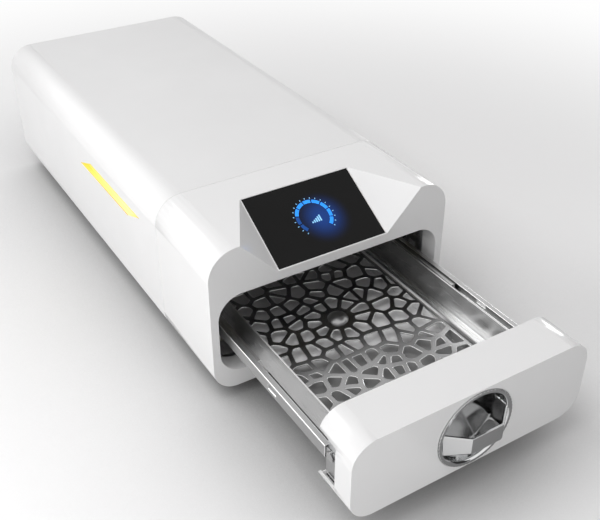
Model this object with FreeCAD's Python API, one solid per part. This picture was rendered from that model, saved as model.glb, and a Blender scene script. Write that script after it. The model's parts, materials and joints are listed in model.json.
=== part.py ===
"""Bench-top drawer autoclave: casing, chamber, bolted drawer door, tray and steam plant.

Millimetres. X points right seen from the front, Y from the door to the back, Z up from the bench.
The layout is measured from the bezel's front face; the drawer stands fully open.
"""
import FreeCAD
import Part
import math
import os

# Shared by many pieces
snug = 0.3
running_fit = 0.05
turning_gap = 0.35
sheet = 1.5
over = 1.0
lap = 0.5

# Casing
case_width = 252.0
foot_height = 13.7
bezel_depth = 106.1
seam_gap = 0.4
top_corner_radius = 28.0
bottom_corner_radius = 24.0
case_wall = 2.5
floor_strip = 32.0
opening_front = 10.0
rear_lip = 8.0
tongue_reach = 8.0
tongue_wall = 1.5
tongue_root = 8.0
plant_bay = 191.8

# Sloping screen
screen_width = 116.2
screen_drop = 38.1
screen_depth = 68.3
facet_spread = 36.55
screen_wall = 4.6
glass_thickness = 2.0
glass_margin = 1.0
window_margin = 10.0
panel_thickness = 5.0
board_thickness = 1.6
board_margin = 14.0
chip_size = 9.0
chip_height = 2.0

# Side lights
light_drop = 39.0
light_height = 13.5
light_front = 180.0
light_length = 130.0
light_lean = -35.0
light_recess = 4.5
light_wall = 1.4
light_flange = 3.0

# Mouth of the bezel
mouth_side = 7.4
mouth_rise = 17.4
mouth_height = 83.3
brow_height = 47.6
mouth_radius = 24.0
lip_depth = 20.0
lip_wall = 2.5

# Door, the front of the drawer
drawer_travel = 198.3
door_depth = 43.8
door_gap = 2.2
door_rise = 3.0
door_drop = 2.9
door_wall = 2.5
notch_depth = 23.0
notch_rise = 16.6
notch_height = 43.3
notch_slant = 3.0
back_plate = 1.5
panel_inset = 12.0
panel_relief = 2.0
boss_inset_x = 28.4
boss_inset_z = 14.0
boss_radius = 5.0

# Knob
knob_drop = 0.3
ring_margin = 1.9
ring_band = 4.3
ring_stand = 1.0
ring_depth = 3.0
ring_bevel = 1.4
ring_notches = 60
notch_cut = 0.5
dish_depth = 13.8
dish_wall = 1.5
grip_reach = 14.0
grip_half_width = 15.7
grip_wall = 1.8
grip_above = 8.0
grip_below = 8.0
grip_flank = 15.0
grip_foot = 30.0
grip_rear_inset = 4.5
grip_chamfer = 1.5
backing_band = 4.0
backing_depth = 6.0
shaft_radius = 5.0
spindle_radius = 3.0
spindle_flat_share = 0.7
collar_half = 7.0
collar_depth = 2.0

# Rack and pinion drive of the two bolts
gear_module = 1.0
pinion_teeth = 12
pressure_angle = math.radians(25.0)
tooth_height = 0.9
tooth_root = 1.2
backlash = 0.24
gear_width = 7.0
rack_teeth = 8
rack_inset = 0.5
rack_back = 4.0
bolt_radius = 4.0
bolt_proud = 0.3
bolt_step = 68.0
step_length = 8.0
pin_radius = 1.5
pin_inset = 3.5
pin_travel = 8.0
pin_length = 22.0
coil_radius = 4.8
coil_length = 24.0
coil_bore = 20.0
carrier_gap = 2.4
carrier_margin = 7.0
bush_wall = 1.95
bush_length = 5.2
bush_flange = 5.0
guide_offset = 36.0
guide_width = 10.0
guide_wall = 4.0
guide_back = 1.2

# Telescopic rails
rail_side = 6.6
rail_span = 11.0
rail_drop = 0.75
rail_height = 12.0
rail_wall = 1.2
rail_member_depth = 5.2
rail_play = 0.5
rail_short = 2.0
rail_shorter = 10.0
rail_lap = 2.8
rail_start = 0.7
middle_setback = 7.65
middle_short = 13.0
slot_low = 4.0
slot_height = 4.0
slot_length = 12.0
slot_first = 25.0
slot_pitch = 95.0

# Bracket between rail and door
bracket_gap = 0.4
bracket_notch_rise = 6.0
bracket_notch_height = 7.0
bracket_notch_depth = 3.5
bracket_hole_inset = 4.5
bracket_hole_rise = 11.3
bracket_hole_radius = 1.4
foot_slot_width = 1.2
foot_slot_end = 3.0

# Tray
tray_side_gap = 1.9
tray_drop = 7.7
tray_length = 292.0
tray_wall = 1.5
tray_corner = 8.0
tray_front_corner = 2.0
ledge_width = 10.0
ledge_drop = 26.8
basin_wall = 1.2
basin_gap = 1.0
basin_step = 3.6
basin_rim = 4.0
basin_corner = 4.0
plate_drop = 4.0
plate_thickness = 1.5
plate_gap = 0.4
plate_corner = 3.0
cell_pitch = 16.6
cell_web = 2.7
cell_jitter = 0.42
cell_edge = 2.2
plate_border = 3.0
dome_radius = 10.0
dome_rise = 5.0
hub_radius = 15.5

# Chamber
chamber_drop = 6.25
chamber_height = 51.0
tray_end_gap = 9.2
chamber_wall = 1.5
chamber_corner = 7.0
flange_depth = 4.0
flange_width = 7.0
gasket_width = 3.4
gasket_depth = 2.4
gasket_stand = 1.2
gasket_slack = 0.1
port_rise = 19.0
port_inset = 35.5
port_radius = 2.5
heater_thickness = 2.5
heater_inset = 19.5
heater_front = 12.0
heater_back = 20.0
insulation_above = 9.0
insulation_side = 1.6
insulation_back = 8.0
insulation_hole = 5.0
insulation_low_radius = 4.0
insulation_high_radius = 8.0
insulation_inner_radius = 3.0

# Bolt frame behind the lip
yoke_gap = 4.0
yoke_clear = 1.3
yoke_side = 0.6
yoke_below = 7.1
yoke_above = 4.6
yoke_inset = 0.4
yoke_leg_x = 70.0
yoke_leg_width = 20.0
strike_gap = 0.7

# Carriers
cradle_drop = 16.2
cradle_wall_height = 59.2
cross_foot_width = 16.0
cross_foot_inset = 8.0
deck_gap = 3.2
deck_front_gap = 1.9
deck_back_gap = 0.8
deck_leg_width = 30.0
deck_slots = 6
deck_slot_pitch = 16.0
deck_slot_width = 6.0
deck_slot_length = 60.0

# Base sheet and feet
pan_front_gap = 2.0
pan_side_gap = 0.5
pan_front_lip = 6.0
pan_back_lip = 12.0
vent_columns = 5
vent_rows = 2
vent_pitch = 12.0
vent_row_pitch = 60.0
vent_width = 4.0
vent_length = 36.0
vent_start = 23.0
foot_side = 46.0
foot_front = 46.0
foot_back = 42.0
foot_radius_low = 9.0
foot_radius_high = 11.0

# Rear panel and what stands on it
screw_rows = 3
screw_radius = 3.0
screw_head = 1.8
screw_socket = 1.4
fan_side = 64.0
fan_rise = 90.3
fan_frame = 80.0
fan_depth = 20.0
fan_corner = 4.0
fan_rim = 3.0
fan_hub = 16.0
fan_hub_depth = 3.0
fan_arm = 4.0
fan_pin = 1.5
fan_blades = 7
fan_tip_gap = 2.2
fan_end_gap = 1.5
blade_root_chord = 12.0
blade_tip_chord = 17.0
blade_root_twist = 48.0
blade_tip_twist = 30.0
blade_thickness = 1.4
grille_slots = 9
grille_share = 0.6
inlet_side = 44.0
inlet_rise = 34.3
inlet_width = 27.0
inlet_height = 19.8
inlet_depth = 20.0
inlet_cavity = 16.0
inlet_lip = 2.0
socket_half_width = 12.0
socket_half_height = 8.0
socket_cut = 4.0
socket_pin_spread = 7.0
socket_pin_width = 2.0
socket_pin_height = 4.0
rim_thickness = 1.5
switch_gap = 38.0
switch_border = 1.8
switch_depth = 12.0
switch_play = 0.8
rocker_width = 11.0
rocker_height = 19.0
rocker_throw = 8.0
rocker_pivot = 3.0
rocker_pivot_radius = 1.0
rocker_dip = 0.8
barb_count = 3
barb_offset = 52.0
barb_pitch = 26.0
barb_rise = 24.3
barb_radius = 4.0
barb_reach = 18.0
barb_bore = 1.8
barb_hex = 9.0
barb_collar = 4.0
barb_inside = 14.0
filter_side = 34.0
filter_rise = 98.3
filter_radius = 17.0
filter_length = 38.0
filter_proud = 3.0
filter_recess = 2.0
filter_rim = 4.0
filter_bar = 4.0
filter_neck = 5.0
filter_neck_length = 12.0

# Steam plant behind the chamber
plant_gap = 17.2
boiler_side = 50.0
boiler_gap = 42.0
boiler_radius = 32.0
boiler_rise = 16.3
boiler_height = 62.0
boiler_shoulder = 10.0
boiler_base = 8.0
boiler_band = 2.5
boiler_band_width = 7.0
boiler_band_drop = 24.0
boiler_leg_radius = 3.0
boiler_leg_circle = 20.0
pump_side = 60.0
pump_gap = 28.0
pump_radius = 25.0
pump_length = 70.0
pump_cap = 6.0
pump_stand = 12.0
pump_plate = 2.8
pump_crank_width = 52.0
pump_crank_depth = 32.0
pump_crank_height = 54.0
pump_head_width = 23.6
pump_head_gap = 0.2
pump_head_height = 42.0
pump_mount_radius = 5.0
feed_offset = 66.0
feed_rise = 20.0
feed_radius = 13.0
feed_length = 44.0
feed_stub_radius = 4.0
feed_stub_front = 8.0
feed_stub_back = 12.0
feed_foot_width = 20.0
feed_foot_length = 26.0
valve_gap = 84.0
valve_rise = 34.0
valve_left = 46.0
valve_width = 62.0
valve_depth = 22.0
valve_height = 20.0
valve_count = 3
valve_pitch = 19.0
coil_width = 16.0
coil_height = 26.0
stem_radius = 4.0
stem_height = 6.0
cooler_depth = 24.0
cooler_gap = 2.0
cooler_tank = 7.0
cooler_fins = 11
cooler_fin = 2.0
cooler_leg = 6.0
pipe_radius = 2.4
pipe_bend = 5.0
bend_steps = 5
pipe_above = 16.0
pipe_out = 14.0
pipe_rise = 24.0
valve_hex = 6.0
valve_stem = 2.45
valve_body_gap = 8.5
valve_body = 4.5
valve_cap_radius = 4.5
valve_cap = 7.0
probe_radius = 2.0
probe_inside = 8.0
probe_outside = 10.0
probe_hex = 4.6
probe_nut = 7.5

# Electronics on the deck
supply_width = 70.0
supply_depth = 84.0
supply_height = 34.0
supply_back = 12.0
supply_vents = 7
supply_vent = 4.0
supply_vent_pitch = 9.0
supply_vent_margin = 14.0
supply_vent_depth = 2.0
board_side = 6.5
board_gap = 6.0
board_inset = 20.0
board_stand = 6.0
pillar_inset = 6.0
pillar_radius = 2.5
can_radius = 8.0
can_height = 20.0
can_count = 3
can_pitch = 24.0
can_y = 144.0

# Left, front, width, depth and height of the board's larger components, from its front left corner
board_blocks = ((24.0, 14.0, 26.0, 22.0, 16.0), (62.0, 14.0, 16.0, 16.0, 14.0), (28.0, 64.0, 32.0, 32.0, 3.0),
                (66.0, 78.0, 20.0, 28.0, 12.0), (6.0, 44.0, 10.0, 60.0, 9.0))

# Derived places
case_half = case_width / 2
case_bottom = foot_height
mouth_low = case_bottom + mouth_rise
mouth_high = mouth_low + mouth_height
mouth_middle = (mouth_low + mouth_high) / 2
mouth_half_width = case_half - mouth_side
case_top = mouth_high + brow_height
floor_top = case_bottom + case_wall
pan_top = floor_top + sheet
pan_half = case_half - bottom_corner_radius - pan_side_gap
base_opening_half = case_half - floor_strip
screen_half_width = screen_width / 2
screen_low_edge = case_top - screen_drop
facet_half_width = screen_half_width + facet_spread
slope_angle = math.atan2(screen_drop, screen_depth)
slope_length = math.hypot(screen_drop, screen_depth)
light_low = case_top - light_drop - light_height
door_front = -drawer_travel
door_back = door_front + door_depth
door_half_width = mouth_half_width - door_gap
door_low = mouth_low + door_rise
door_high = mouth_high - door_drop
door_radius = mouth_radius - door_gap
notch_low = door_low + notch_rise
notch_high = notch_low + notch_height
knob_height = (door_low + door_high) / 2 - knob_drop
ring_radius = (door_high - door_low) / 2 - ring_margin
dish_radius = ring_radius - ring_band
flange_front = door_depth + gasket_stand + snug
yoke_front = lip_depth + yoke_gap
yoke_depth = flange_front - yoke_clear - yoke_front
yoke_inner_half = mouth_half_width - yoke_inset
yoke_outer_half = case_half - case_wall - yoke_side
pitch_radius = gear_module * pinion_teeth / 2
bolt_travel = pitch_radius * math.pi / 2
gear_plane = yoke_front + yoke_depth / 2 - drawer_travel
rack_front = gear_plane - gear_width / 2 + rack_inset
rack_width = gear_width - 2 * rack_inset
carrier_front = door_front + dish_depth + dish_wall + carrier_gap
rail_length = tray_length - rail_short
rail_outer = mouth_half_width - rail_side
rail_inner = rail_outer - rail_span
rail_low = mouth_middle - rail_height / 2 - rail_drop
rail_high = rail_low + rail_height
rail_front = door_back - rail_lap
fixed_front = flange_front + flange_depth + rail_start
middle_front = (rail_front + fixed_front) / 2 + middle_setback
middle_length = rail_length - middle_short
bolt_rest = rail_outer + bolt_proud
pin_x = bolt_rest + bolt_travel - pin_inset
chamber_half_width = rail_inner - sheet - 3 * snug - insulation_side - chamber_wall
chamber_low = mouth_middle - chamber_height / 2 - chamber_drop
chamber_high = chamber_low + chamber_height
chamber_length = door_depth + snug + tray_length + tray_end_gap - flange_front
chamber_back = flange_front + chamber_length + chamber_wall
port_height = chamber_low + port_rise
port_x = chamber_half_width - port_inset
tray_half_width = chamber_half_width - tray_side_gap
tray_front = door_back + snug
tray_back = tray_front + tray_length
tray_middle = (tray_front + tray_back) / 2
tray_top = chamber_high - tray_drop
ledge_top = tray_top - ledge_drop
plate_top = ledge_top - plate_drop
basin_floor = chamber_low + basin_gap
insulation_half = chamber_half_width + chamber_wall + snug + insulation_side
insulation_top = chamber_high + chamber_wall + heater_thickness + snug + insulation_above
insulation_end = chamber_back + insulation_back
cradle_floor = chamber_low - cradle_drop
cradle_inner = insulation_half + snug
cradle_front = flange_front + flange_depth + snug
cradle_back = cradle_front + rail_length
cradle_top = cradle_floor + cradle_wall_height
deck_inner = cradle_inner + sheet + snug
deck_outer = deck_inner + sheet
deck_top = insulation_top + deck_gap + sheet
deck_front = bezel_depth + tongue_reach + deck_front_gap
deck_back = chamber_back - deck_back_gap
board_right = deck_outer - board_side
board_left = board_side - deck_outer + supply_width + board_gap
plant_front = insulation_end + plant_gap
case_length = insulation_end + plant_bay
panel_back = case_length - sheet
panel_front = panel_back - sheet
fan_x = case_half - fan_side
fan_z = case_bottom + fan_rise
fan_front = panel_front - fan_depth
fan_bore = fan_frame / 2 - fan_rim
inlet_x = inlet_side - case_half
inlet_z = case_bottom + inlet_rise
switch_x = inlet_x + switch_gap
barb_first_x = fan_x - barb_offset
barb_z = case_bottom + barb_rise
filter_x = filter_side - case_half
filter_z = case_bottom + filter_rise
boiler_x = boiler_side - case_half
boiler_y = plant_front + boiler_gap
boiler_low = pan_top + boiler_rise
boiler_high = boiler_low + boiler_height
pump_x = case_half - pump_side
pump_y = plant_front + pump_gap
feed_x = pump_x - feed_offset
feed_z = pan_top + feed_rise
valve_front = plant_front + valve_gap
rear_reach = panel_back + barb_reach
front_reach = door_front - grip_reach
origin_shift = -(front_reach + rear_reach) / 2

parts = {}


def vec(x, y, z):
    """Short name for a point or direction."""
    return FreeCAD.Vector(x, y, z)


def box(x_low, x_high, y_low, y_high, z_low, z_high):
    """Block between two corners."""
    return Part.makeBox(x_high - x_low, y_high - y_low, z_high - z_low, vec(x_low, y_low, z_low))


def side_box(side, inner, outer, y_low, y_high, z_low, z_high):
    """Block between two distances from the middle, on the right (1) or left (-1) side."""
    x_low, x_high = sorted((side * inner, side * outer))
    return box(x_low, x_high, y_low, y_high, z_low, z_high)


def rod(start, end, radius):
    """Round bar between two points."""
    return Part.makeCylinder(radius, start.distanceToPoint(end), start, end - start)


def rod_back(x, z, front, back, radius):
    """Round bar that runs from front to back."""
    return rod(vec(x, front, z), vec(x, back, z), radius)


def cone_back(x, z, front, back, radius_front, radius_back):
    """Tapered bar that runs from front to back."""
    return Part.makeCone(radius_front, radius_back, back - front, vec(x, front, z), vec(0, 1, 0))


def bar(start, end, radius, sides=12):
    """Many-sided bar between two points: hexagons, and small round pieces drawn with few faces."""
    axis = (end - start).normalize()
    first = vec(1, 0, 0) if abs(axis.z) > 0.5 else vec(0, 0, 1)
    second = axis.cross(first)
    points = []
    for index in range(sides):
        angle = 2 * math.pi * (index + 0.5) / sides
        points.append(start + first * (radius * math.cos(angle)) + second * (radius * math.sin(angle)))
    return prism(points, end - start)


def bar_back(x, z, front, back, radius, sides=12):
    """Many-sided bar that runs from front to back."""
    return bar(vec(x, front, z), vec(x, back, z), radius, sides)


def many_sided(profile, sides, centre):
    """Upright body of revolution drawn with flat sides, through (radius, height) pairs."""
    rings = []
    for radius, height in profile:
        angles = [2 * math.pi * (index + 0.5) / sides for index in range(sides)]
        rings.append([centre + vec(radius * math.cos(a), radius * math.sin(a), height) for a in angles])
    faces = [rings[0][::-1], rings[-1]]
    for low, high in zip(rings, rings[1:]):
        for index in range(sides):
            before = index - 1
            faces.append([low[before], low[index], high[index], high[before]])
    return flat_solid(faces)


def mirrored(shape):
    """The same shape on the other side of the machine."""
    return shape.mirror(vec(0, 0, 0), vec(1, 0, 0))


def turned(shape, degrees):
    """The shape turned about the knob's axis."""
    copy = shape.copy()
    copy.rotate(vec(0, 0, knob_height), vec(0, 1, 0), degrees)
    return copy


def rounded_wire(corners, radii):
    """Closed outline through corners, each rounded to its own radius; 0 keeps a corner sharp."""
    count = len(corners)
    arcs = []
    for index, corner in enumerate(corners):
        to_last = (corners[index - 1] - corner).normalize()
        to_next = (corners[(index + 1) % count] - corner).normalize()
        half_angle = to_last.getAngle(to_next) / 2
        radius = radii[index]
        inward = (to_last + to_next).normalize()
        middle = corner + inward * (radius / math.sin(half_angle) - radius)
        setback = radius / math.tan(half_angle)
        arcs.append((corner + to_last * setback, middle, corner + to_next * setback))
    edges = []
    for index, (start, middle, end) in enumerate(arcs):
        if radii[index] > 0:
            edges.append(Part.Arc(start, middle, end).toShape())
        following = arcs[(index + 1) % count][0]
        if end.distanceToPoint(following) > 0.001:
            edges.append(Part.makeLine(end, following))
    return Part.Wire(edges)


def standing(half_width, low, high, radius_low, radius_high, front, depth):
    """Rounded rectangle seen from the front, drawn out towards the back."""
    corners = [vec(-half_width, front, low), vec(half_width, front, low),
               vec(half_width, front, high), vec(-half_width, front, high)]
    outline = rounded_wire(corners, [radius_low, radius_low, radius_high, radius_high])
    return Part.Face(outline).extrude(vec(0, depth, 0))


def lying(half_width, front, back, radius, low, height, front_radius=None):
    """Rounded rectangle seen from above, drawn out upwards."""
    front_radius = radius if front_radius is None else front_radius
    corners = [vec(-half_width, front, low), vec(half_width, front, low),
               vec(half_width, back, low), vec(-half_width, back, low)]
    outline = rounded_wire(corners, [front_radius, front_radius, radius, radius])
    return Part.Face(outline).extrude(vec(0, 0, height))


def prism(points, direction):
    """Flat polygon drawn out along a direction."""
    return Part.Face(Part.makePolygon(points + points[:1])).extrude(direction)


def flat_solid(faces):
    """Solid closed by flat polygons."""
    sides = [Part.Face(Part.makePolygon(points + points[:1])) for points in faces]
    return Part.Solid(Part.Shell(sides))


def group(solids):
    """Separate solids that share one node."""
    return Part.makeCompound(solids)


def without(shape, tools):
    """The shape with all tools cut away."""
    return shape.cut(tools)


def casing_section(inset, front, depth):
    """The casing's outline set in from its outer face."""
    return standing(case_half - inset, case_bottom + inset, case_top - inset,
                    bottom_corner_radius - inset, top_corner_radius - inset, front, depth)


def casing_ring(inset, thickness, front, depth):
    """A band that follows the casing's outline."""
    outer = casing_section(inset, front, depth)
    return outer.cut(casing_section(inset + thickness, front - over, depth + 2 * over))


def mouth_section(grow, front, depth):
    """The mouth's outline, grown outwards."""
    return standing(mouth_half_width + grow, mouth_low - grow, mouth_high + grow,
                    mouth_radius + grow, mouth_radius + grow, front, depth)


def door_section(inset, front, depth):
    """The door's outline set in from its outer face."""
    return standing(door_half_width - inset, door_low + inset, door_high - inset,
                    door_radius - inset, door_radius - inset, front, depth)


def meeting_point(planes):
    """Point shared by three planes, each a (normal, distance) pair."""
    (normal_a, a), (normal_b, b), (normal_c, c) = planes
    cross = normal_b.cross(normal_c)
    total = cross * a + normal_c.cross(normal_a) * b + normal_a.cross(normal_b) * c
    return total * (1 / normal_a.dot(cross))


def plane_through(point_a, point_b, point_c, shift):
    """Plane through three points, moved along its normal."""
    normal = (point_b - point_a).cross(point_c - point_a).normalize()
    return normal, normal.dot(point_a) + shift


def screen_wedge(grow_slope, grow_sides):
    """The wedge that the sloping screen and its two side facets take out of the bezel."""
    low_right = vec(screen_half_width, 0, screen_low_edge)
    top_right = vec(screen_half_width, screen_depth, case_top)
    outer_right = vec(facet_half_width, 0, case_top)
    low_left = vec(-screen_half_width, 0, screen_low_edge)
    top_left = vec(-screen_half_width, screen_depth, case_top)
    outer_left = vec(-facet_half_width, 0, case_top)
    slope = plane_through(low_left, low_right, top_right, -grow_slope)
    right = plane_through(low_right, outer_right, top_right, -grow_sides)
    left = plane_through(low_left, top_left, outer_left, -grow_sides)
    top = (vec(0, 0, 1), case_top + screen_wall)
    front = (vec(0, -1, 0), screen_wall)
    low_r = meeting_point([slope, right, front])
    low_l = meeting_point([slope, left, front])
    top_r = meeting_point([slope, right, top])
    top_l = meeting_point([slope, left, top])
    out_r = meeting_point([right, top, front])
    out_l = meeting_point([left, top, front])
    return flat_solid([[low_l, low_r, top_r, top_l], [low_r, out_r, top_r], [low_l, top_l, out_l],
                       [top_l, top_r, out_r, out_l], [low_l, out_l, out_r, low_r]])


def on_slope(half_width, low, high, back, front):
    """Block on the sloping screen: along the slope from its lower edge, and out of its face."""
    block = box(-half_width, half_width, low, high, back, front)
    block.rotate(vec(0, 0, 0), vec(1, 0, 0), math.degrees(slope_angle))
    block.translate(vec(0, 0, screen_low_edge))
    return block


def light_outline(side, grow, inner, outer):
    """Leaning slot of the side light, from one X to another on the right (1) or left (-1) side."""
    lean = grow * light_lean / light_height
    low, high = light_low - grow, light_low + light_height + grow
    length = light_length + 2 * grow
    front_low = light_front - grow - lean
    front_high = light_front + light_lean - grow + lean
    points = [vec(side * inner, front_low, low), vec(side * inner, front_low + length, low),
              vec(side * inner, front_high + length, high), vec(side * inner, front_high, high)]
    return prism(points, vec(side * (outer - inner), 0, 0))


def floor_opening(front, back):
    """What is left open in the casing's floor, for the base sheet."""
    return box(-base_opening_half, base_opening_half, front, back, case_bottom - over, floor_top + over)


def case_cover():
    """One-piece wrap of the casing, open at the bottom, with an inturned rear lip."""
    front = bezel_depth + seam_gap
    shell = casing_ring(0, case_wall, front, case_length - front)
    lip = casing_ring(case_wall - lap, rear_lip + lap, case_length - sheet, sheet)
    opening = floor_opening(front - over, case_length - rear_lip - case_wall)
    slots = [light_outline(side, 0, case_half - case_wall - over, case_half + over) for side in (-1, 1)]
    return without(shell.fuse(lip), [opening] + slots)


def bezel():
    """Front of the casing: mouth with its lip, sloping screen seat and joint tongue."""
    outer = casing_section(0, 0, bezel_depth).cut(screen_wedge(0, 0))
    hollow = casing_section(case_wall, case_wall, bezel_depth)
    hollow = hollow.cut(screen_wedge(screen_wall, case_wall))
    shell = outer.cut(hollow)
    lip = mouth_section(lip_wall, lap, lip_depth - lap)
    tongue_front = bezel_depth - tongue_root
    tongue = casing_ring(case_wall + snug, tongue_wall, tongue_front, tongue_root + tongue_reach)
    root = casing_ring(case_wall - lap, tongue_wall + snug + lap, tongue_front, tongue_root - snug)
    shell = shell.fuse([lip, tongue, root])
    mouth = mouth_section(0, -over, lip_depth + 2 * over)
    end = bezel_depth + tongue_reach + over
    opening = floor_opening(lip_depth + opening_front, end)
    pan_seat = box(-pan_half - snug, pan_half + snug, tongue_front - over, end, floor_top, pan_top + snug)
    pocket = on_slope(screen_half_width - glass_margin, glass_margin, slope_length - glass_margin,
                      -glass_thickness, screen_wall)
    window = on_slope(screen_half_width - window_margin, window_margin, slope_length - window_margin,
                      -screen_wall - 3 * over, 0)
    return without(shell, [mouth, opening, pan_seat, pocket, window])


def screen_parts():
    """Glass, display panel and its board, stacked under the sloping window."""
    edge = glass_margin + snug / 2
    glass = on_slope(screen_half_width - edge, edge, slope_length - edge, -glass_thickness, -snug / 3)
    rim = window_margin + snug
    front = -glass_thickness - snug
    panel = on_slope(screen_half_width - rim, rim, slope_length - rim, front - panel_thickness, front)
    back = front - panel_thickness - snug
    board = on_slope(screen_half_width - board_margin, board_margin, slope_length - board_margin,
                     back - board_thickness, back)
    chips = []
    for low in (slope_length / 3, slope_length / 2):
        chips.append(on_slope(chip_size, low, low + chip_size, back - board_thickness - chip_height,
                              back - board_thickness))
    parts["screen_glass"] = glass
    parts["screen_panel"] = panel
    parts["screen_board"] = board.fuse(chips)


def side_light(side):
    """Light guide that lines its slot: a leaning tub with a flange behind the casing's wall."""
    flange_face = case_half - case_wall - snug
    floor_face = case_half - light_recess
    tub = light_outline(side, -snug, floor_face - light_wall, case_half - snug)
    hollow = light_outline(side, -snug - light_wall, floor_face, case_half + over)
    flange = light_outline(side, light_flange, flange_face - light_wall, flange_face)
    return tub.fuse(flange).cut(hollow)


def base_pan():
    """Bottom sheet with turned-up ends and rows of air slots."""
    front, back = lip_depth + pan_front_gap, panel_front - snug
    pan = box(-pan_half, pan_half, front, back, floor_top, pan_top)
    ends = [box(-pan_half, pan_half, front, front + sheet, pan_top, pan_top + pan_front_lip),
            box(-pan_half, pan_half, back - sheet, back, pan_top, pan_top + pan_back_lip)]
    slots = []
    for row in range(vent_rows):
        for column in range(vent_columns):
            x = (column - (vent_columns - 1) / 2) * vent_pitch
            y = plant_front + vent_start + row * vent_row_pitch
            slots.append(box(x - vent_width / 2, x + vent_width / 2, y, y + vent_length,
                             floor_top - over, pan_top + over))
    return without(pan.fuse(ends), slots)


def foot_places():
    """Middle of each foot, as (x, y)."""
    return [(side * (case_half - foot_side), y) for side in (-1, 1)
            for y in (foot_front, case_length - foot_back)]


def feet():
    """Four tapered rubber feet under the bottom sheet."""
    profile = [(foot_radius_low, 0), (foot_radius_high, floor_top)]
    return group([many_sided(profile, 16, vec(x, y, 0)) for x, y in foot_places()])


def rear_panel():
    """Back sheet with the fan's grille and a hole for each fitting."""
    panel = casing_section(case_wall + snug, panel_front, sheet)
    front, back = panel_front - over, panel_back + over
    holes = []
    pitch = 2 * fan_bore / grille_slots
    half_slot = pitch * grille_share / 2
    for index in range(grille_slots):
        offset = (index - (grille_slots - 1) / 2) * pitch
        half = math.sqrt(fan_bore ** 2 - offset ** 2)
        holes.append(box(fan_x + offset - half_slot, fan_x + offset + half_slot, front, back,
                         fan_z - half, fan_z + half))
    holes.append(box(inlet_x - inlet_width / 2, inlet_x + inlet_width / 2, front, back,
                     inlet_z - inlet_height / 2, inlet_z + inlet_height / 2))
    half_x = rocker_width / 2 + switch_border + snug
    half_z = rocker_height / 2 + switch_border + snug
    holes.append(box(switch_x - half_x, switch_x + half_x, front, back, inlet_z - half_z, inlet_z + half_z))
    for index in range(barb_count):
        holes.append(rod_back(barb_first_x + index * barb_pitch, barb_z, front, back, barb_radius + snug))
    holes.append(rod_back(filter_x, filter_z, front, back, filter_radius + snug))
    return without(panel, holes)


def screws():
    """Screw heads round the casing's rear lip."""
    x = case_half - case_wall - rear_lip / 2
    heads = []
    for row in range(screw_rows):
        z = case_bottom + (case_top - case_bottom) * (row + 1) / (screw_rows + 1)
        for side in (-1, 1):
            head = bar_back(side * x, z, case_length, case_length + screw_head, screw_radius)
            socket = bar_back(side * x, z, case_length + screw_head / 2, case_length + screw_head + over,
                              screw_socket, 6)
            heads.append(head.cut(socket))
    return group(heads)


def chamber_section(grow, front, depth):
    """The chamber's hollow, grown outwards."""
    return standing(chamber_half_width + grow, chamber_low - grow, chamber_high + grow,
                    chamber_corner + grow, chamber_corner + grow, front, depth)


def port_places():
    """Where the chamber's three rear ports lie across it."""
    return (-port_x, 0, port_x)


def chamber():
    """Deep-drawn vessel, closed at the back, with a grooved front flange."""
    back = flange_front + chamber_length
    body = chamber_section(chamber_wall, flange_front, chamber_length + chamber_wall)
    flange = chamber_section(flange_width, flange_front, flange_depth)
    hollow = chamber_section(0, flange_front - over, chamber_length + over)
    side = (flange_width - gasket_width) / 2
    groove = chamber_section(side + gasket_width + gasket_slack, flange_front - over, gasket_depth + over)
    groove = groove.cut(chamber_section(side - gasket_slack, flange_front - 2 * over, gasket_depth + 3 * over))
    ports = [rod_back(x, port_height, back - over, chamber_back + over, port_radius) for x in port_places()]
    return without(body.fuse(flange), [hollow, groove] + ports)


def gasket():
    """Rubber seal in the flange's groove."""
    side = (flange_width - gasket_width) / 2
    front = flange_front - gasket_stand
    ring = chamber_section(side + gasket_width, front, gasket_depth + gasket_stand)
    return ring.cut(chamber_section(side, front - over, gasket_depth + gasket_stand + 2 * over))


def heaters():
    """Flat heating mats above and below the chamber."""
    half = chamber_half_width - heater_inset
    front = flange_front + flange_depth + heater_front
    back = flange_front + chamber_length - heater_back
    top = chamber_high + chamber_wall
    bottom = chamber_low - chamber_wall
    return group([box(-half, half, front, back, top, top + heater_thickness),
                  box(-half, half, front, back, bottom - heater_thickness, bottom)])


def insulation():
    """Sleeve of insulation round the chamber, closed at the back."""
    front = flange_front + flange_depth + snug
    inner_half = insulation_half - insulation_side
    inner_low = chamber_low - chamber_wall - heater_thickness - snug
    inner_high = insulation_top - insulation_above
    outer = standing(insulation_half, cradle_floor + sheet + snug, insulation_top,
                     insulation_low_radius, insulation_high_radius, front, insulation_end - front)
    inner = standing(inner_half, inner_low, inner_high, insulation_inner_radius, insulation_inner_radius,
                     front - over, chamber_back + snug + over - front)
    ports = [bar_back(x, port_height, chamber_back - over, insulation_end + over, insulation_hole)
             for x in port_places()]
    return without(outer, [inner] + ports)


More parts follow.
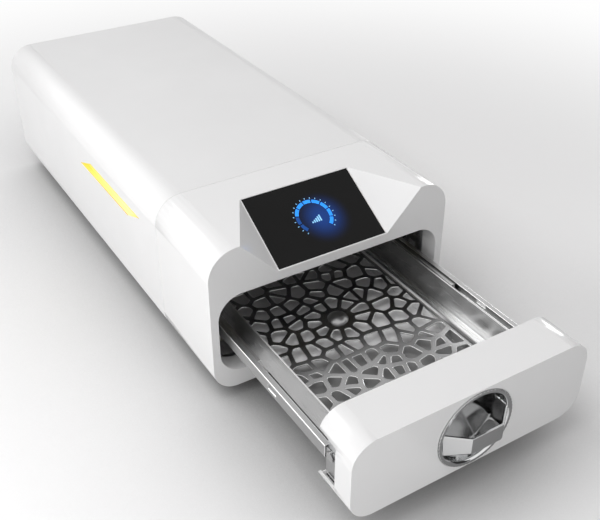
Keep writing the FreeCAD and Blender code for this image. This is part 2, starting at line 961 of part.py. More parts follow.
def yoke():
    """Steel frame behind the lip that takes the two bolts, on two legs."""
    outer = standing(yoke_outer_half, mouth_low - yoke_below, mouth_high + yoke_above,
                     mouth_radius, mouth_radius, yoke_front, yoke_depth)
    radius = mouth_radius - 2 * over
    inner = standing(yoke_inner_half, mouth_low + yoke_inset, mouth_high - yoke_inset, radius, radius,
                     yoke_front - over, yoke_depth + 2 * over)
    legs = [side_box(side, yoke_leg_x - yoke_leg_width / 2, yoke_leg_x + yoke_leg_width / 2, yoke_front,
                     yoke_front + yoke_depth, pan_top, mouth_low) for side in (-1, 1)]
    bolt_y = gear_plane + drawer_travel
    reach = bolt_radius + strike_gap
    strikes = [side_box(side, yoke_inner_half - over, yoke_outer_half + over, bolt_y - reach, bolt_y + reach,
                        knob_height - reach, knob_height + reach) for side in (-1, 1)]
    pin_hole = rod_back(pin_x, knob_height, bolt_y, yoke_front + yoke_depth + over, pin_radius + running_fit)
    return without(outer.cut(inner).fuse([leg.cut(inner) for leg in legs]), strikes + [pin_hole])


def cradle():
    """Folded channel that carries the chamber and the fixed rails, on two cross feet."""
    outer = cradle_inner + sheet
    floor = box(-outer, outer, cradle_front, cradle_back, cradle_floor, cradle_floor + sheet)
    walls = [side_box(side, cradle_inner, outer, cradle_front, cradle_back, cradle_floor, cradle_top)
             for side in (-1, 1)]
    feet_y = (cradle_front + cross_foot_inset, cradle_back - cross_foot_inset - cross_foot_width)
    cross_feet = [box(-outer, outer, y, y + cross_foot_width, pan_top, cradle_floor) for y in feet_y]
    return floor.fuse(walls + cross_feet)


def deck():
    """Sheet shelf above the chamber for the electronics, on legs that straddle the cradle."""
    top = box(-deck_outer, deck_outer, deck_front, deck_back, deck_top - sheet, deck_top)
    legs = [side_box(side, deck_inner, deck_outer, y, y + deck_leg_width, rail_high + 2 * snug, deck_top)
            for side in (-1, 1) for y in (deck_front, deck_back - 2 * deck_leg_width)]
    y = deck_back - 3 * deck_leg_width
    slots = []
    for index in range(deck_slots):
        x = (index - (deck_slots - 1) / 2) * deck_slot_pitch
        slots.append(box(x - deck_slot_width / 2, x + deck_slot_width / 2, y, y + deck_slot_length,
                         deck_top - sheet - over, deck_top + over))
    return without(top.fuse(legs), slots)


def rail_member(web_x, open_to, front, length):
    """Channel with its web at one X and lips reaching towards the other member."""
    tip = web_x + open_to * rail_member_depth
    web_back = web_x + open_to * rail_wall
    low, high = rail_low, rail_high
    points = [vec(web_x, front, low), vec(tip, front, low), vec(tip, front, low + rail_wall),
              vec(web_back, front, low + rail_wall), vec(web_back, front, high - rail_wall),
              vec(tip, front, high - rail_wall), vec(tip, front, high), vec(web_x, front, high)]
    return prism(points, vec(0, length, 0))


def fixed_rail():
    """Right-hand fixed member on the cradle, with elongated screw slots."""
    rail = rail_member(rail_inner, 1, fixed_front, rail_length - rail_shorter)
    slots = []
    for index in range(3):
        front = fixed_front + slot_first + index * slot_pitch
        slots.append(box(rail_inner - over, rail_inner + rail_wall + over, front, front + slot_length,
                         rail_low + slot_low, rail_low + slot_low + slot_height))
    return without(rail, slots)


def middle_rail():
    """Right-hand middle member: a double channel that runs inside the other two."""
    low = rail_low + rail_wall + rail_play
    high = rail_high - rail_wall - rail_play
    centre = (rail_inner + rail_outer) / 2
    reach = rail_span / 2 - rail_wall - rail_play
    back = middle_front + middle_length
    web = box(centre - rail_wall / 2, centre + rail_wall / 2, middle_front, back, low, high)
    lips = [box(centre - reach, centre + reach, middle_front, back, z, z + rail_wall)
            for z in (low, high - rail_wall)]
    return web.fuse(lips)


def drawer_rail():
    """Right-hand moving member, screwed to the door's bracket."""
    rail = rail_member(rail_outer, -1, rail_front, rail_length)
    front = rail_front + slot_first + slot_pitch / 2
    slot = box(rail_outer - rail_wall - over, rail_outer + over, front, front + slot_length,
               rail_low + slot_low, rail_low + slot_low + slot_height)
    return without(rail, [slot])


def rail_bracket():
    """Right-hand angle bracket seen in the door's notch, with the bolt's hole and a slotted foot."""
    outer = rail_outer - rail_wall
    inner = outer - rail_wall
    front = door_back - notch_depth
    shoulder = rail_front - bracket_gap
    back = middle_front - drawer_travel / 2 - over
    low, high = notch_low, rail_high - rail_wall - snug
    deep = rail_low + rail_wall + snug
    outline = [vec(inner, front, low), vec(inner, shoulder, low), vec(inner, shoulder, deep),
               vec(inner, back, deep), vec(inner, back, high), vec(inner, front, high)]
    plate = prism(outline, vec(rail_wall, 0, 0))
    foot = box(inner, door_half_width - door_wall - bracket_gap, front, shoulder, low, low + rail_wall)
    bolt_hole = rod(vec(inner - over, gear_plane, knob_height), vec(outer + over, gear_plane, knob_height),
                    bolt_radius + bracket_gap)
    corner_notch = box(inner - over, outer + over, front - over, front + bracket_notch_depth,
                       low + bracket_notch_rise, low + bracket_notch_rise + bracket_notch_height)
    slot_x = outer + rail_wall / 2
    foot_slot = box(slot_x, slot_x + foot_slot_width, front + foot_slot_end, shoulder - foot_slot_end,
                    low - over, low + rail_wall + over)
    screw_y, screw_z = front + bracket_hole_inset, low + bracket_hole_rise
    screw_hole = rod(vec(inner - over, screw_y, screw_z), vec(outer + over, screw_y, screw_z),
                     bracket_hole_radius)
    return without(plate.fuse(foot), [bolt_hole, corner_notch, foot_slot, screw_hole])


def door_shell():
    """Hollow front of the drawer with the knob's seat and a notch in each side wall."""
    shell = door_section(0, door_front, door_depth)
    shell = shell.cut(door_section(door_wall, door_front + door_wall, door_depth))
    bosses = []
    for side in (-1, 1):
        for z in (door_low + boss_inset_z, door_high - boss_inset_z):
            bosses.append(bar_back(side * (door_half_width - boss_inset_x), z, door_front + over,
                                   door_back - back_plate - snug, boss_radius))
    seat = rod_back(0, knob_height, door_front - over, door_front + backing_depth + over,
                    dish_radius + dish_wall + 2 * turning_gap)
    ring_seat = rod_back(0, knob_height, door_front - over,
                         door_front + ring_depth - ring_stand + turning_gap, ring_radius + turning_gap)
    backing = rod_back(0, knob_height, door_front + over, door_front + backing_depth,
                       ring_radius + backing_band)
    backing = backing.common(door_section(door_wall / 2, door_front, door_depth))
    notches = []
    for side in (-1, 1):
        inner = side * (door_half_width - door_wall - over)
        front, back = door_back - notch_depth, door_back + over
        points = [vec(inner, front, notch_low), vec(inner, back, notch_low),
                  vec(inner, back, notch_high + notch_slant), vec(inner, front, notch_high)]
        notches.append(prism(points, vec(side * (door_wall + 2 * over), 0, 0)))
    return without(shell.fuse(bosses + [backing]), [seat, ring_seat] + notches)


def door_plate():
    """Steel plate that closes the back of the door and presses on the chamber's seal."""
    front = door_back - back_plate
    plate = door_section(door_wall + bracket_gap, front, back_plate)
    notches = [side_box(side, rail_outer - rail_member_depth - rail_play, door_half_width, front - over,
                        door_back + over, notch_low - 2 * over, notch_high + notch_slant) for side in (-1, 1)]
    low, high = ledge_top + basin_rim, tray_top - basin_rim
    half = tray_half_width - panel_inset
    wall = basin_wall
    panel = standing(half, low, high, basin_corner, basin_corner, front - panel_relief, panel_relief + lap)
    hollow = standing(half - wall, low + wall, high - wall, basin_corner - wall, basin_corner - wall,
                      front - panel_relief + wall, back_plate + panel_relief)
    return without(plate.fuse(panel), notches + [hollow])


def knob_ring():
    """Ring round the knob's dish, with a fine grip cut round its edge."""
    front = door_front - ring_stand
    points = []
    for index in range(ring_notches * 2):
        radius = ring_radius - (index % 2) * notch_cut
        angle = math.pi * index / ring_notches
        points.append(vec(radius * math.cos(angle), front, knob_height + radius * math.sin(angle)))
    ring = prism(points, vec(0, ring_depth, 0))
    bore = rod_back(0, knob_height, front - over, front + ring_depth + over, dish_radius)
    bevel = cone_back(0, knob_height, front, front + ring_bevel, dish_radius + ring_bevel, dish_radius)
    return without(ring, [bore, bevel])


def grip_body(shrink, reach, low, back):
    """Faceted body of the scoop grip, from the dish floor to its front lip."""
    wide = dish_radius - grip_rear_inset - shrink
    half = grip_half_width - shrink
    top = knob_height + grip_above
    flank = knob_height - grip_flank + shrink
    foot = knob_height - grip_foot + shrink
    foot_half = grip_flank - shrink
    rear = [(-wide, top), (-wide, flank), (-foot_half, foot), (foot_half, foot), (wide, flank), (wide, top)]
    corner_x = grip_chamfer * (wide - foot_half) / (flank - foot)
    corner_z = low + shrink
    face = [(-half, top), (-half, corner_z + grip_chamfer), (-half + corner_x, corner_z),
            (half - corner_x, corner_z), (half, corner_z + grip_chamfer), (half, top)]
    rear = [vec(x, back, z) for x, z in rear]
    face = [vec(x, door_front - reach, z) for x, z in face]
    sides = [[rear[index - 1], rear[index], face[index], face[index - 1]] for index in range(len(rear))]
    return flat_solid([rear[::-1], face] + sides)


def knob_grip():
    """Dish and scoop of the knob in one casting: fingers hook behind its lip from above."""
    back = door_front + dish_depth
    cup = rod_back(0, knob_height, door_front - ring_stand + ring_depth, back + dish_wall,
                   dish_radius + dish_wall)
    cup = cup.cut(rod_back(0, knob_height, door_front - 2 * over, back, dish_radius))
    lip_low = knob_height - grip_below
    scoop = grip_body(0, grip_reach, lip_low, back + lap)
    hollow = grip_body(grip_wall, grip_reach - grip_wall, lip_low, back)
    opened = hollow.copy()
    opened.translate(vec(0, 0, grip_wall + lap))
    scoop = without(scoop, [hollow, opened])
    scoop = scoop.common(rod_back(0, knob_height, front_reach - over, back + over, dish_radius - lap / 2))
    return cup.fuse(scoop)


def spindle_flat(clearance):
    """What the flat takes off the spindle, or off the pinion's bore."""
    low = knob_height + spindle_radius * spindle_flat_share + clearance
    return box(-spindle_radius, spindle_radius, gear_plane - gear_width, door_back, low, low + spindle_radius)


def knob_shaft():
    """Stepped shaft of the knob: square root in the dish, journal, and a flat for the pinion."""
    start = door_front + dish_depth + dish_wall
    shoulder = gear_plane - gear_width / 2 - snug
    journal = rod_back(0, knob_height, start, shoulder, shaft_radius)
    spindle = rod_back(0, knob_height, start, door_back - back_plate - panel_relief - over, spindle_radius)
    root = box(-collar_half, collar_half, start, start + collar_depth,
               knob_height - collar_half, knob_height + collar_half)
    return journal.fuse([spindle.cut(spindle_flat(0)), root])


def involute_point(base_radius, radius, offset, sign):
    """Point of a tooth flank on the given radius, turned by the tooth's offset."""
    roll = math.sqrt(max((radius / base_radius) ** 2 - 1, 0))
    angle = offset - sign * (roll - math.atan(roll))
    return radius * math.sin(angle), radius * math.cos(angle)


def pinion():
    """Pinion on the knob's shaft, with involute flanks."""
    base = pitch_radius * math.cos(pressure_angle)
    tip = pitch_radius + tooth_height
    root = pitch_radius - tooth_root
    half_tooth = (math.pi * gear_module / 2 - backlash / 2) / (2 * pitch_radius)
    flank_start = half_tooth + math.tan(pressure_angle) - pressure_angle
    radii = [base, base + (tip - base) / 3, tip]
    points = []
    for tooth in range(pinion_teeth):
        centre = 2 * math.pi * tooth / pinion_teeth
        left, right = centre - flank_start, centre + flank_start
        points.append((root * math.sin(left), root * math.cos(left)))
        points += [involute_point(base, radius, left, -1) for radius in radii]
        points += [involute_point(base, radius, right, 1) for radius in reversed(radii)]
        points.append((root * math.sin(right), root * math.cos(right)))
    front, back = gear_plane - gear_width / 2, gear_plane + gear_width / 2
    gear = prism([vec(x, front, knob_height + z) for x, z in points], vec(0, gear_width, 0))
    bore = rod_back(0, knob_height, front - over, back + over, spindle_radius + running_fit)
    return gear.cut(bore.cut(spindle_flat(running_fit)))


def lock_bolt():
    """Right-hand bolt: a rack above the pinion, stepped down to a round nose on the knob's height."""
    pitch = math.pi * gear_module
    line = knob_height + pitch_radius
    valley = line + tooth_root
    tip = line - tooth_height
    slant = math.tan(pressure_angle)
    half_tooth = pitch / 4 - backlash / 4
    half_root = half_tooth + slant * tooth_root
    half_tip = half_tooth - slant * tooth_height
    far_end = -(math.ceil(rack_teeth / 2 + bolt_travel / pitch) + lap) * pitch
    points = [vec(far_end, rack_front, valley + rack_back), vec(far_end, rack_front, valley)]
    last_tooth = rack_teeth + math.ceil(bolt_travel / pitch)
    for index in range(last_tooth + rack_teeth // 2):
        middle = far_end + (index + 1) * pitch
        points += [vec(middle - half_root, rack_front, valley), vec(middle - half_tip, rack_front, tip),
                   vec(middle + half_tip, rack_front, tip), vec(middle + half_root, rack_front, valley)]
    points += [vec(bolt_step, rack_front, valley), vec(bolt_step, rack_front, valley + rack_back)]
    rack = prism(points, vec(0, rack_width, 0))
    step = box(bolt_step - over, bolt_step + step_length, rack_front, rack_front + rack_width,
               knob_height - bolt_radius, valley + rack_back)
    nose = rod(vec(bolt_step + over, gear_plane, knob_height), vec(bolt_rest, gear_plane, knob_height),
               bolt_radius)
    hole_x = bolt_rest - pin_inset
    cross_hole = rod_back(hole_x, knob_height, gear_plane - bolt_radius - over,
                          gear_plane + bolt_radius + over, pin_radius + snug)
    return rack.fuse([step, nose]).cut(cross_hole)


def lock_carrier():
    """Channel inside the door that carries the knob's bush and guides both bolts."""
    outer = rail_outer - 2 * rail_wall - snug
    half_height = pitch_radius + tooth_root + rack_back + carrier_margin
    low, high = knob_height - half_height, knob_height + half_height
    web = box(-outer, outer, carrier_front, carrier_front + sheet, low, high)
    ends = [side_box(side, outer - sheet, outer, carrier_front, rail_front - bracket_gap, low, high)
            for side in (-1, 1)]
    bush_hole = rod_back(0, knob_height, carrier_front - over, carrier_front + sheet + over,
                         shaft_radius + bush_wall + running_fit)
    bolt_holes = rod(vec(-outer - over, gear_plane, knob_height), vec(outer + over, gear_plane, knob_height),
                     bolt_radius + turning_gap)
    return without(web.fuse(ends), [bush_hole, bolt_holes])


def knob_bush():
    """Bearing bush of the knob's shaft, with a square flange."""
    front = carrier_front - snug
    flange_front_y = carrier_front + sheet
    sleeve = rod_back(0, knob_height, front, front + bush_length, shaft_radius + bush_wall)
    half = shaft_radius + bush_flange
    flange = box(-half, half, flange_front_y, flange_front_y + sheet, knob_height - half, knob_height + half)
    bore = rod_back(0, knob_height, front - over, front + bush_length + over, shaft_radius + running_fit)
    return sleeve.fuse(flange).cut(bore)


def bolt_guides():
    """Two slotted blocks that keep each rack in mesh."""
    valley = knob_height + pitch_radius + tooth_root
    back = gear_plane + gear_width / 2 + guide_back
    block = box(guide_offset, guide_offset + guide_width, carrier_front + sheet, back,
                valley - guide_wall, valley + rack_back + guide_wall)
    slot = box(guide_offset - over, guide_offset + guide_width + over, rack_front - snug,
               rack_front + rack_width + snug, valley - tooth_root - tooth_height - snug,
               valley + rack_back + snug)
    right = block.cut(slot)
    return group([right, turned(right, 180)])


def lock_solenoid():
    """Coil that holds the locking pin behind the right-hand strike."""
    front = yoke_front + yoke_depth
    coil = bar_back(pin_x, knob_height, front, front + coil_length, coil_radius, 16)
    return coil.cut(rod_back(pin_x, knob_height, front - over, front + coil_bore, pin_radius + running_fit))


def lock_pin():
    """Locking pin that crosses the bolt's nose while a cycle runs."""
    tip = gear_plane + drawer_travel + bolt_radius + 2 * strike_gap
    return rod_back(pin_x, knob_height, tip, tip + pin_length, pin_radius)


def tray_frame():
    """Welded tray frame: walls all round and a flat ledge inside."""
    low = ledge_top - tray_wall
    outer = lying(tray_half_width, tray_front, tray_back, tray_corner, low, tray_top - low, tray_front_corner)
    inner = lying(tray_half_width - tray_wall, tray_front + tray_wall, tray_back - tray_wall,
                  tray_corner - tray_wall, ledge_top, tray_top - ledge_top, tray_front_corner - tray_wall)
    well = lying(tray_half_width - ledge_width, tray_front + ledge_width, tray_back - ledge_width,
                 basin_corner, low - over, tray_wall + 2 * over)
    return without(outer, [inner, well])


def basin_plan(inset, low, height):
    """Plan of the basin under the ledge, set in from the ledge's edge."""
    return lying(tray_half_width - ledge_width - inset, tray_front + ledge_width + inset,
                 tray_back - ledge_width - inset, basin_corner, low, height)


def tray_basin():
    """Drip basin under the ledge, with a step that carries the perforated plate."""
    rim_low = ledge_top - tray_wall - basin_wall
    step_top = plate_top - plate_thickness
    step_low = step_top - basin_wall
    rim = basin_plan(-basin_rim, rim_low, basin_wall)
    upper = basin_plan(-basin_wall, step_low, rim_low - step_low + lap)
    lower = basin_plan(basin_step - basin_wall, basin_floor, step_low - basin_floor + lap)
    upper_hollow = basin_plan(0, step_top, ledge_top - step_top)
    lower_hollow = basin_plan(basin_step, basin_floor + basin_wall, step_top - basin_floor)
    return without(rim.fuse([upper, lower]), [upper_hollow, lower_hollow])


def random_stream(seed):
    """Repeatable numbers from 0 to 1."""
    while True:
        seed = (seed * 1103515245 + 12345) % 2 ** 31
        yield seed / 2 ** 31


def clip_polygon(polygon, nx, ny, limit):
    """Part of a convex polygon where nx * x + ny * y is at most the limit."""
    kept = []
    for index, (x, y) in enumerate(polygon):
        last_x, last_y = polygon[index - 1]
        here = nx * x + ny * y - limit
        before = nx * last_x + ny * last_y - limit
        if here * before < 0:
            share = before / (before - here)
            kept.append((last_x + (x - last_x) * share, last_y + (y - last_y) * share))
        if here <= 0:
            kept.append((x, y))
    return kept


def polygon_area(points):
    """Area inside a flat outline."""
    total = 0
    for index, (x, y) in enumerate(points):
        last_x, last_y = points[index - 1]
        total += last_x * y - x * last_y
    return abs(total) / 2


def cell_sites(half_x, half_y):
    """Scattered cell centres, with a regular circle of them round the hub."""
    numbers = random_stream(2209)
    across = round(2 * half_x / cell_pitch)
    along = round(2 * half_y / cell_pitch)
    step_x, step_y = 2 * half_x / across, 2 * half_y / along
    circle = hub_radius + cell_pitch * 0.52
    sites = []
    for row in range(along):
        for column in range(across):
            shift = 0.25 if row % 2 else -0.25
            x = -half_x + (column + 0.5 + shift + (next(numbers) * 2 - 1) * cell_jitter) * step_x
            y = -half_y + (row + 0.5 + (next(numbers) * 2 - 1) * cell_jitter) * step_y
            if math.hypot(x, y) > circle + cell_pitch * 0.55:
                sites.append((x, y))
    ring_count = round(2 * math.pi * circle / (cell_pitch * 0.85))
    for index in range(ring_count):
        angle = 2 * math.pi * (index + 0.3 * next(numbers)) / ring_count
        sites.append((circle * math.cos(angle), circle * math.sin(angle)))
    return sites


def tray_cells(half_x, half_y):
    """Outlines of the plate's openings: the sites' nearest regions, less the web between them."""
    sites = cell_sites(half_x, half_y)
    cells = []
    for x, y in sites:
        cell = [(-half_x, -half_y), (half_x, -half_y), (half_x, half_y), (-half_x, half_y)]
        for other_x, other_y in sites:
            dx, dy = other_x - x, other_y - y
            distance = math.hypot(dx, dy)
            if 0 < distance < 4 * cell_pitch:
                nx, ny = dx / distance, dy / distance
                middle = nx * (x + other_x) / 2 + ny * (y + other_y) / 2
                cell = clip_polygon(cell, nx, ny, middle - cell_web / 2)
        from_hub = math.hypot(x, y)
        cell = clip_polygon(cell, -x / from_hub, -y / from_hub, -hub_radius)
        outline = [point for index, point in enumerate(cell) if math.dist(point, cell[index - 1]) > cell_edge]
        if len(outline) > 2 and polygon_area(outline) > cell_pitch:
            cells.append(outline)
    return cells


def perforated_tray():
    """Loose steel plate with a web of irregular openings and a solid hub."""
    half_x = tray_half_width - ledge_width - plate_gap
    half_y = tray_length / 2 - ledge_width - plate_gap
    low = plate_top - plate_thickness
    corners = [vec(-half_x, tray_middle - half_y, low), vec(half_x, tray_middle - half_y, low),
               vec(half_x, tray_middle + half_y, low), vec(-half_x, tray_middle + half_y, low)]
    wires = [rounded_wire(corners, [plate_corner] * 4)]
    for cell in tray_cells(half_x - plate_border, half_y - plate_border):
        points = [vec(x, tray_middle + y, low) for x, y in cell]
        wires.append(Part.makePolygon(points + points[:1]))
    face = Part.Face(wires, "Part::FaceMakerBullseye")
    return face.extrude(vec(0, 0, plate_thickness))


def tray_dome():
    """Polished screw cap in the middle of the perforated plate."""
    sphere_radius = (dome_radius ** 2 + dome_rise ** 2) / (2 * dome_rise)
    full_angle = math.asin(dome_radius / sphere_radius)
    profile = []
    for step in range(6):
        angle = full_angle * (1 - step / 6)
        profile.append((sphere_radius * math.sin(angle), sphere_radius * (math.cos(angle) - 1) + dome_rise))
    return many_sided(profile, 32, vec(0, tray_middle, plate_top))


def boiler():
    """Steam generator: a shouldered vessel with a clamp band on three legs."""
    profile = [(boiler_radius - boiler_shoulder, 0), (boiler_radius, boiler_base),
               (boiler_radius, boiler_height - boiler_shoulder),
               (boiler_radius - 1.5 * boiler_shoulder, boiler_height)]
    body = many_sided(profile, 24, vec(boiler_x, boiler_y, boiler_low))
    band_low = boiler_high - boiler_band_drop
    band = bar(vec(boiler_x, boiler_y, band_low), vec(boiler_x, boiler_y, band_low + boiler_band_width),
               boiler_radius + boiler_band, 24)
    legs = []
    for index in range(3):
        angle = math.radians(90 + 120 * index)
        x = boiler_x + boiler_leg_circle * math.cos(angle)
        y = boiler_y + boiler_leg_circle * math.sin(angle)
        legs.append(bar(vec(x, y, pan_top), vec(x, y, boiler_low + over), boiler_leg_radius))
    return body.fuse([band] + legs)


def vacuum_pump():
    """Diaphragm vacuum pump: motor, crankcase and a pair of heads, on a foot plate."""
    low = pan_top + pump_stand
    axis_z = low + pump_radius
    motor_end = pump_y + pump_length
    motor = bar_back(pump_x, axis_z, pump_y, motor_end, pump_radius, 24)
    end_cap = bar_back(pump_x, axis_z, motor_end + pump_head_gap, motor_end + pump_cap, pump_radius / 1.25, 24)
    crank_half = pump_crank_width / 2
    front = pump_y - pump_crank_depth
    case = box(pump_x - crank_half, pump_x + crank_half, front, pump_y - pump_head_gap,
               low, low + pump_crank_height)
    head_low = low + (pump_crank_height - pump_head_height) / 2
    near = crank_half + pump_head_gap
    heads = []
    for side in (-1, 1):
        head = side_box(side, near, near + pump_head_width, front, pump_y - feed_stub_radius,
                        head_low, head_low + pump_head_height)
        head.translate(vec(pump_x, 0, 0))
        heads.append(head)
    plate_half = crank_half + pump_stand / 3
    plate_top_z = low - pump_head_gap
    plate = box(pump_x - plate_half, pump_x + plate_half, front, motor_end, plate_top_z - pump_plate, plate_top_z)
    mounts = []
    for side in (-1, 1):
        for y in (front + 2 * pump_mount_radius, motor_end - 2 * pump_mount_radius):
            x = pump_x + side * (plate_half - pump_mount_radius)
            mounts.append(bar(vec(x, y, pan_top), vec(x, y, plate_top_z - pump_plate - pump_head_gap),
                              pump_mount_radius))
    return group([motor, end_cap, case, plate] + heads + mounts)


def water_pump():
    """Small feed pump with its inlet and outlet stubs."""
    end = plant_front + feed_length
    body = bar_back(feed_x, feed_z, plant_front, end, feed_radius, 16)
    stub = bar_back(feed_x, feed_z, plant_front - feed_stub_front, end + feed_stub_back, feed_stub_radius)
    half = feed_foot_width / 2
    front = plant_front + feed_stub_front
    foot = box(feed_x - half, feed_x + half, front, front + feed_foot_length, pan_top, feed_z)
    return body.fuse([stub, foot])


def valve_block():
    """Manifold with a row of solenoid valves."""
    low = pan_top + valve_rise
    top = low + valve_height
    left = feed_x - valve_left
    middle_y = valve_front + valve_depth / 2
    block = box(left, left + valve_width, valve_front, valve_front + valve_depth, low, top)
    posts = [bar(vec(x, middle_y, pan_top), vec(x, middle_y, low + over), stem_radius)
             for x in (left + 2.5 * stem_radius, left + valve_width - 2.5 * stem_radius)]
    pieces = [block.fuse(posts)]
    for index in range(valve_count):
        x = left + valve_left / 4 + index * valve_pitch
        coil_top = top + snug + coil_height
        pieces.append(box(x - coil_width / 2, x + coil_width / 2, valve_front + over,
                          valve_front + valve_depth - over, top + snug, coil_top))
        stem = vec(x, middle_y, coil_top + snug)
        pieces.append(bar(stem, stem + vec(0, 0, stem_height), stem_radius))
    return group(pieces)


def condenser():
    """Finned cooler in front of the fan."""
    back = fan_front - cooler_gap
    front = back - cooler_depth
    half = fan_frame / 2
    low, high = fan_z - half, fan_z + half
    tanks = [box(fan_x - half, fan_x - half + cooler_tank, front, back, low, high),
             box(fan_x + half - cooler_tank, fan_x + half, front, back, low, high)]
    step = (high - low - cooler_fin) / (cooler_fins - 1)
    inner = half - cooler_tank + over
    fins = [box(fan_x - inner, fan_x + inner, front, back, low + index * step, low + index * step + cooler_fin)
            for index in range(cooler_fins)]
    legs = [box(x, x + cooler_leg, front + cooler_leg, back - cooler_leg, pan_top, low + over)
            for x in (fan_x - half, fan_x + half - cooler_leg)]
    return tanks[0].fuse(tanks[1:] + fins + legs)


def fan_housing():
    """Square fan frame with its hub held by four arms."""
    half = fan_frame / 2
    frame = standing(half, fan_z - half, fan_z + half, fan_corner, fan_corner, fan_front, fan_depth)
    frame.translate(vec(fan_x, 0, 0))
    bore = bar_back(fan_x, fan_z, fan_front - over, panel_front + over, fan_bore, 48)
    arm_front = panel_front - fan_hub_depth
    hub = bar_back(fan_x, fan_z, arm_front, panel_front, fan_hub, 24)
    pin = rod_back(fan_x, fan_z, fan_front + fan_hub_depth, panel_front - over, fan_pin)
    reach, half_arm = fan_bore + over, fan_arm / 2
    arms = [box(fan_x - reach, fan_x + reach, arm_front, panel_front, fan_z - half_arm, fan_z + half_arm),
            box(fan_x - half_arm, fan_x + half_arm, arm_front, panel_front, fan_z - reach, fan_z + reach)]
    return frame.cut(bore).fuse(arms + [hub, pin])


def fan_blade():
    """One twisted blade, standing up from the wheel's middle."""
    stations = ((fan_hub - fan_end_gap, blade_root_chord, blade_root_twist),
                (fan_bore - fan_tip_gap, blade_tip_chord, blade_tip_twist))
    rings = []
    for height, chord, twist in stations:
        lean = math.radians(twist)
        along = vec(math.cos(lean), math.sin(lean), 0) * (chord / 2)
        across = vec(-math.sin(lean), math.cos(lean), 0) * (blade_thickness / 2)
        middle = vec(0, 0, height)
        rings.append([middle - along - across, middle + along - across,
                      middle + along + across, middle - along + across])
    low, high = rings
    faces = [low[::-1], high]
    for index in range(4):
        before = index - 1
        faces.append([low[before], low[index], high[index]])
        faces.append([low[before], high[index], high[before]])
    return flat_solid(faces)


def fan_rotor():
    """Fan wheel with twisted blades round its hub."""
    front = fan_front + fan_end_gap
    back = panel_front - fan_hub_depth - over
    hub = bar_back(fan_x, fan_z, front, back, fan_hub, 24)
    bore = rod_back(fan_x, fan_z, fan_front + fan_hub_depth - lap, back + over, fan_pin + running_fit)
    blades = []
    for index in range(fan_blades):
        blade = fan_blade()
        blade.rotate(vec(0, 0, 0), vec(0, 1, 0), 360 * index / fan_blades)
        blade.translate(vec(fan_x, (front + back) / 2, fan_z))
        blades.append(blade)
    return hub.fuse(blades).cut(bore)


def power_inlet():
    """Appliance inlet: a keyed socket with three flat pins, snapped into the panel."""
    face = panel_back + rim_thickness
    half_x, half_z = inlet_width / 2 - snug, inlet_height / 2 - snug
    rim = box(inlet_x - half_x - inlet_lip, inlet_x + half_x + inlet_lip, panel_back, face,
              inlet_z - half_z - inlet_lip, inlet_z + half_z + inlet_lip)
    body = box(inlet_x - half_x, inlet_x + half_x, panel_back - inlet_depth, face,
               inlet_z - half_z, inlet_z + half_z)
    half_w, half_h, cut = socket_half_width, socket_half_height, socket_cut
    outline = [(-half_w, half_h), (half_w, half_h), (half_w, cut - half_h), (half_w - cut, -half_h),
               (cut - half_w, -half_h), (-half_w, cut - half_h)]
    cavity = prism([vec(inlet_x + x, face + over, inlet_z + z) for x, z in outline],
                   vec(0, -inlet_cavity - over, 0))
    half_pin, half_blade = socket_pin_width / 2, socket_pin_height / 2
    pins = []
    for x, z in ((-socket_pin_spread, -half_blade), (0, half_blade), (socket_pin_spread, -half_blade)):
        pins.append(box(inlet_x + x - half_pin, inlet_x + x + half_pin, face - inlet_cavity - over,
                        panel_back - over, inlet_z + z - half_blade, inlet_z + z + half_blade))
    return body.fuse(rim).cut(cavity).fuse(pins)


def switch_frame():
    """Frame of the power switch, snapped into the panel."""
    half_x, half_z = rocker_width / 2 + switch_border, rocker_height / 2 + switch_border
    face = panel_back + rim_thickness
    body = box(switch_x - half_x, switch_x + half_x, panel_front - switch_depth, face,
               inlet_z - half_z, inlet_z + half_z)
    rim = box(switch_x - half_x - inlet_lip, switch_x + half_x + inlet_lip, panel_back, face,
              inlet_z - half_z - inlet_lip, inlet_z + half_z + inlet_lip)
    well_x, well_z = rocker_width / 2 + snug, rocker_height / 2 + switch_play
    well = box(switch_x - well_x, switch_x + well_x, panel_back - switch_depth + 2 * over, face + over,
               inlet_z - well_z, inlet_z + well_z)
    y = panel_back - rocker_pivot
    socket_x = rocker_width / 2 - switch_border
    pivots = [rod(vec(switch_x + side * half_x, y, inlet_z), vec(switch_x + side * socket_x, y, inlet_z),
                  rocker_pivot_radius) for side in (-1, 1)]
    return body.fuse(rim).cut(well).fuse(pivots)


def power_rocker():
    """Rocker of the power switch, tipped to its off side."""
    y = panel_back - rocker_pivot
    half_z = rocker_height / 2
    lift = half_z * math.sin(math.radians(rocker_throw / 2))
    face = panel_back + rim_thickness
    left = switch_x - rocker_width / 2
    outline = [(face - lift, half_z), (face - rocker_dip, 0), (face + lift, -half_z),
               (y - rocker_pivot / 2, over - half_z), (y - rocker_pivot, 0), (y - rocker_pivot + lap, half_z - over)]
    body = prism([vec(left, depth, inlet_z + z) for depth, z in outline], vec(rocker_width, 0, 0))
    socket = rod(vec(left - over, y, inlet_z), vec(left + rocker_width + over, y, inlet_z),
                 rocker_pivot_radius + running_fit)
    return body.cut(socket)


def hose_fittings():
    """Spigots for fresh water, drain and exhaust, with hexagons on both sides of the panel."""
    fittings = []
    for index in range(barb_count):
        x = barb_first_x + index * barb_pitch
        tube = rod_back(x, barb_z, panel_back - barb_inside, panel_back + barb_reach, barb_radius)
        collar = bar_back(x, barb_z, panel_back, panel_back + barb_collar, barb_hex, 6)
        nut = bar_back(x, barb_z, panel_front - barb_collar, panel_front, barb_hex, 6)
        bore = bar_back(x, barb_z, panel_back - barb_inside - over, panel_back + barb_reach + over, barb_bore, 8)
        fittings.append(tube.fuse([collar, nut]).cut(bore))
    return group(fittings)


